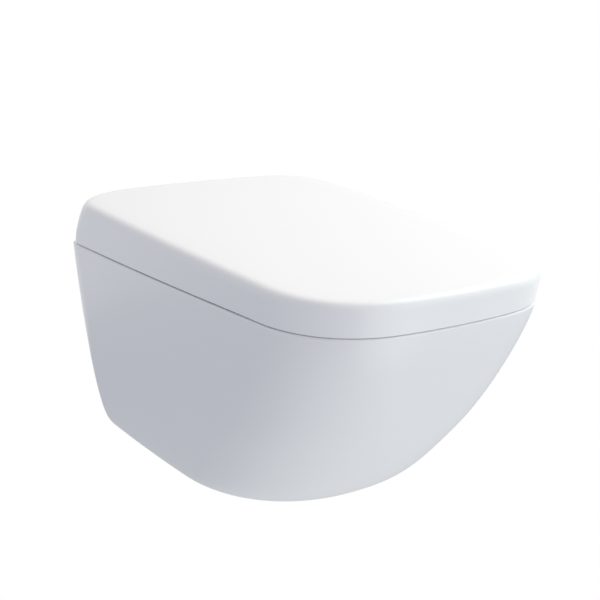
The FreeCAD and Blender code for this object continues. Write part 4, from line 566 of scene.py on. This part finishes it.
def top_rows(spots, drop, shares):
    """Rings of the pillowed top, or of a face lower by a drop, on the way to its middle."""
    return [[Vector((*mixed(spot, LID_MIDDLE, share),
                     RIM - drop + crown(mixed(spot, LID_MIDDLE, share)))) for spot in spots]
            for share in shares]


rows = [[skirt_point(column, row / SKIRT_ROWS) for column in range(len(COLUMNS))]
        for row in range(SKIRT_ROWS + 1)]
insets = inset_spots(LID_ROLL)
for row in range(1, ROLL_ROWS + 1):
    rows.append([pole_curve([low, Vector((*spot, RIM + crease)),
                             Vector((*inset, RIM + crown(inset)))], row / ROLL_ROWS)
                 for low, (spot, crease), inset in zip(rows[SKIRT_ROWS], creases, insets)])
rows += top_rows(insets, 0, TOP_SHARES)
print("rows of the lid skin", len(rows))

# %% [markdown]
# Both pieces of the lid are sheets of even thickness, as moulded covers are. So a sheet
# is made first, as one layer of faces. Where it has to stay open, it is cut along planes,
# and the faces in the opening are taken out. The Solidify modifier then gives it its
# wall, and the result is kept as the mesh, with smooth shading and crisp edges where it
# turns sharply.

# %% Sheets and walls
MM_PER_METRE = 1000
CUT_TOLERANCE = 1e-6
SHARP_ANGLE = math.radians(38)


def ringed(rings_of_points, drop):
    """A sheet from rings of points, closed over the middle of the lid."""
    sheet = bmesh.new()
    rings = [[sheet.verts.new(point / MM_PER_METRE) for point in ring]
             for ring in rings_of_points]
    count = len(COLUMNS)
    for lower, upper in zip(rings, rings[1:]):
        for column in range(count):
            following = (column + 1) % count
            sheet.faces.new((lower[column], lower[following], upper[following], upper[column]))
    middle = Vector((*LID_MIDDLE, RIM - drop + crown(LID_MIDDLE)))
    peak = sheet.verts.new(middle / MM_PER_METRE)
    for column in range(count):
        sheet.faces.new((rings[-1][column], rings[-1][(column + 1) % count], peak))
    sheet.normal_update()
    return sheet


def opened(sheet, planes, chosen, removed):
    """Cut the chosen faces along planes, then take out those that are to be removed."""
    for place, facing in planes:
        faces = [face for face in sheet.faces if chosen(face)]
        touched = {part for face in faces for part in (*face.verts, *face.edges)}
        bmesh.ops.bisect_plane(sheet, geom=faces + list(touched), dist=CUT_TOLERANCE,
                               plane_co=Vector(place) / MM_PER_METRE, plane_no=facing)
    gone = [face for face in sheet.faces
            if chosen(face) and removed(face.calc_center_median() * MM_PER_METRE)]
    bmesh.ops.delete(sheet, geom=gone, context="FACES")


def walled(name, sheet, wall, slot, body, stands_for=None):
    """An object of even wall under the sheet, which rides with a body."""
    mesh = bpy.data.meshes.new(name)
    sheet.to_mesh(mesh)
    sheet.free()
    piece = bpy.data.objects.new(name, mesh)
    bpy.context.collection.objects.link(piece)
    thickness = piece.modifiers.new("wall", "SOLIDIFY")
    thickness.thickness = wall / MM_PER_METRE
    thickness.offset = -1
    thickness.use_even_offset = True
    graph = bpy.context.evaluated_depsgraph_get()
    whole = bpy.data.meshes.new_from_object(piece.evaluated_get(graph))
    piece.modifiers.clear()
    piece.data = whole
    whole.shade_smooth()
    whole.set_sharp_from_angle(angle=SHARP_ANGLE)
    whole.materials.append(finishes[slot])
    if stands_for:
        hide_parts(stands_for)
    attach(piece, body)
    print(name, len(whole.polygons), "faces")


# %% [markdown]
# The lid skin is open at the rear between the two corners, where the hinges sit. Only its
# steep faces near the wall are cut there, so the top above the hinges stays whole.

# %% Lid skin
LID_WALL = 3.0
REAR_OPEN_HALF = 175.5
REAR_OPEN_TOP = 142.5
REAR_ZONE = 60.0
SIDE_UPWARD = 0.7


def at_rear(face):
    """Whether a face is near the wall and doesn't face upwards as the top does."""
    near = face.calc_center_median().y > -REAR_ZONE / MM_PER_METRE
    return near and face.normal.z < SIDE_UPWARD


shell = ringed(rows, 0)
opened(shell, [((REAR_OPEN_HALF, 0, 0), (1, 0, 0)), ((-REAR_OPEN_HALF, 0, 0), (1, 0, 0)),
               ((0, 0, REAR_OPEN_TOP), (0, 0, 1))], at_rear,
       lambda centre: abs(centre.x) < REAR_OPEN_HALF and centre.z < REAR_OPEN_TOP)
walled("lid_skin", shell, LID_WALL, "lid_white", "lid", "lid_shell")

# %% [markdown]
# Under the top lies a second sheet, which shows when the lid is open. It is the same
# pillow, a little lower and drawn in from the edge, so it uses the same functions. It
# ends in front of the hinges.

# %% Lid inner sheet
LINER_INSET = 7.5
LINER_DROP = 3.8
LINER_BACK = 32.0
LINER_WALL = 2.5
under_top = ringed(top_rows(inset_spots(LINER_INSET), LINER_DROP, (0, *TOP_SHARES)), LINER_DROP)
opened(under_top, [((0, -LINER_BACK, 0), (0, 1, 0))], lambda face: True,
       lambda centre: centre.y > -LINER_BACK)
walled("lid_inner_sheet", under_top, LINER_WALL, "lid_white", "lid", "lid_liner")

# %% [markdown]
# In the bowl, the rear wall slopes forward over the siphon and ends in a lip, so that
# nobody can look through to the outlet. The solids have no such wall, so it is added here
# for looks, as one curved ceramic sheet whose ends lie inside the side walls. Seen from
# the side it follows a curve with four poles, given by their Y and Z, and across the bowl
# it is hollowed, more so towards its lower edge.

# %% Siphon lip
LIP_POLES = [Vector((-148, 6)), Vector((-165, -10)), Vector((-215, -40)), Vector((-240, -100))]
LIP_HALF = 112.0
LIP_HOLLOW = 25.0
LIP_WALL = 8.0
LIP_ROWS = 18
LIP_STEPS = 24


def lip_point(across, down):
    """A point of the sheet; across runs from -1 to 1 and down from 0 to 1."""
    spot = pole_curve(LIP_POLES, down)
    return Vector((across * LIP_HALF, spot.x - LIP_HOLLOW * down * across ** 2, spot.y))


lip = bmesh.new()
grid = [[lip.verts.new(lip_point(2 * step / LIP_STEPS - 1, row / LIP_ROWS) / MM_PER_METRE)
         for step in range(LIP_STEPS + 1)] for row in range(LIP_ROWS + 1)]
for upper, lower in zip(grid, grid[1:]):
    for step in range(LIP_STEPS):
        lip.faces.new((upper[step], lower[step], lower[step + 1], upper[step + 1]))
walled("siphon_lip", lip, LIP_WALL, "glaze", "pan_and_unit")
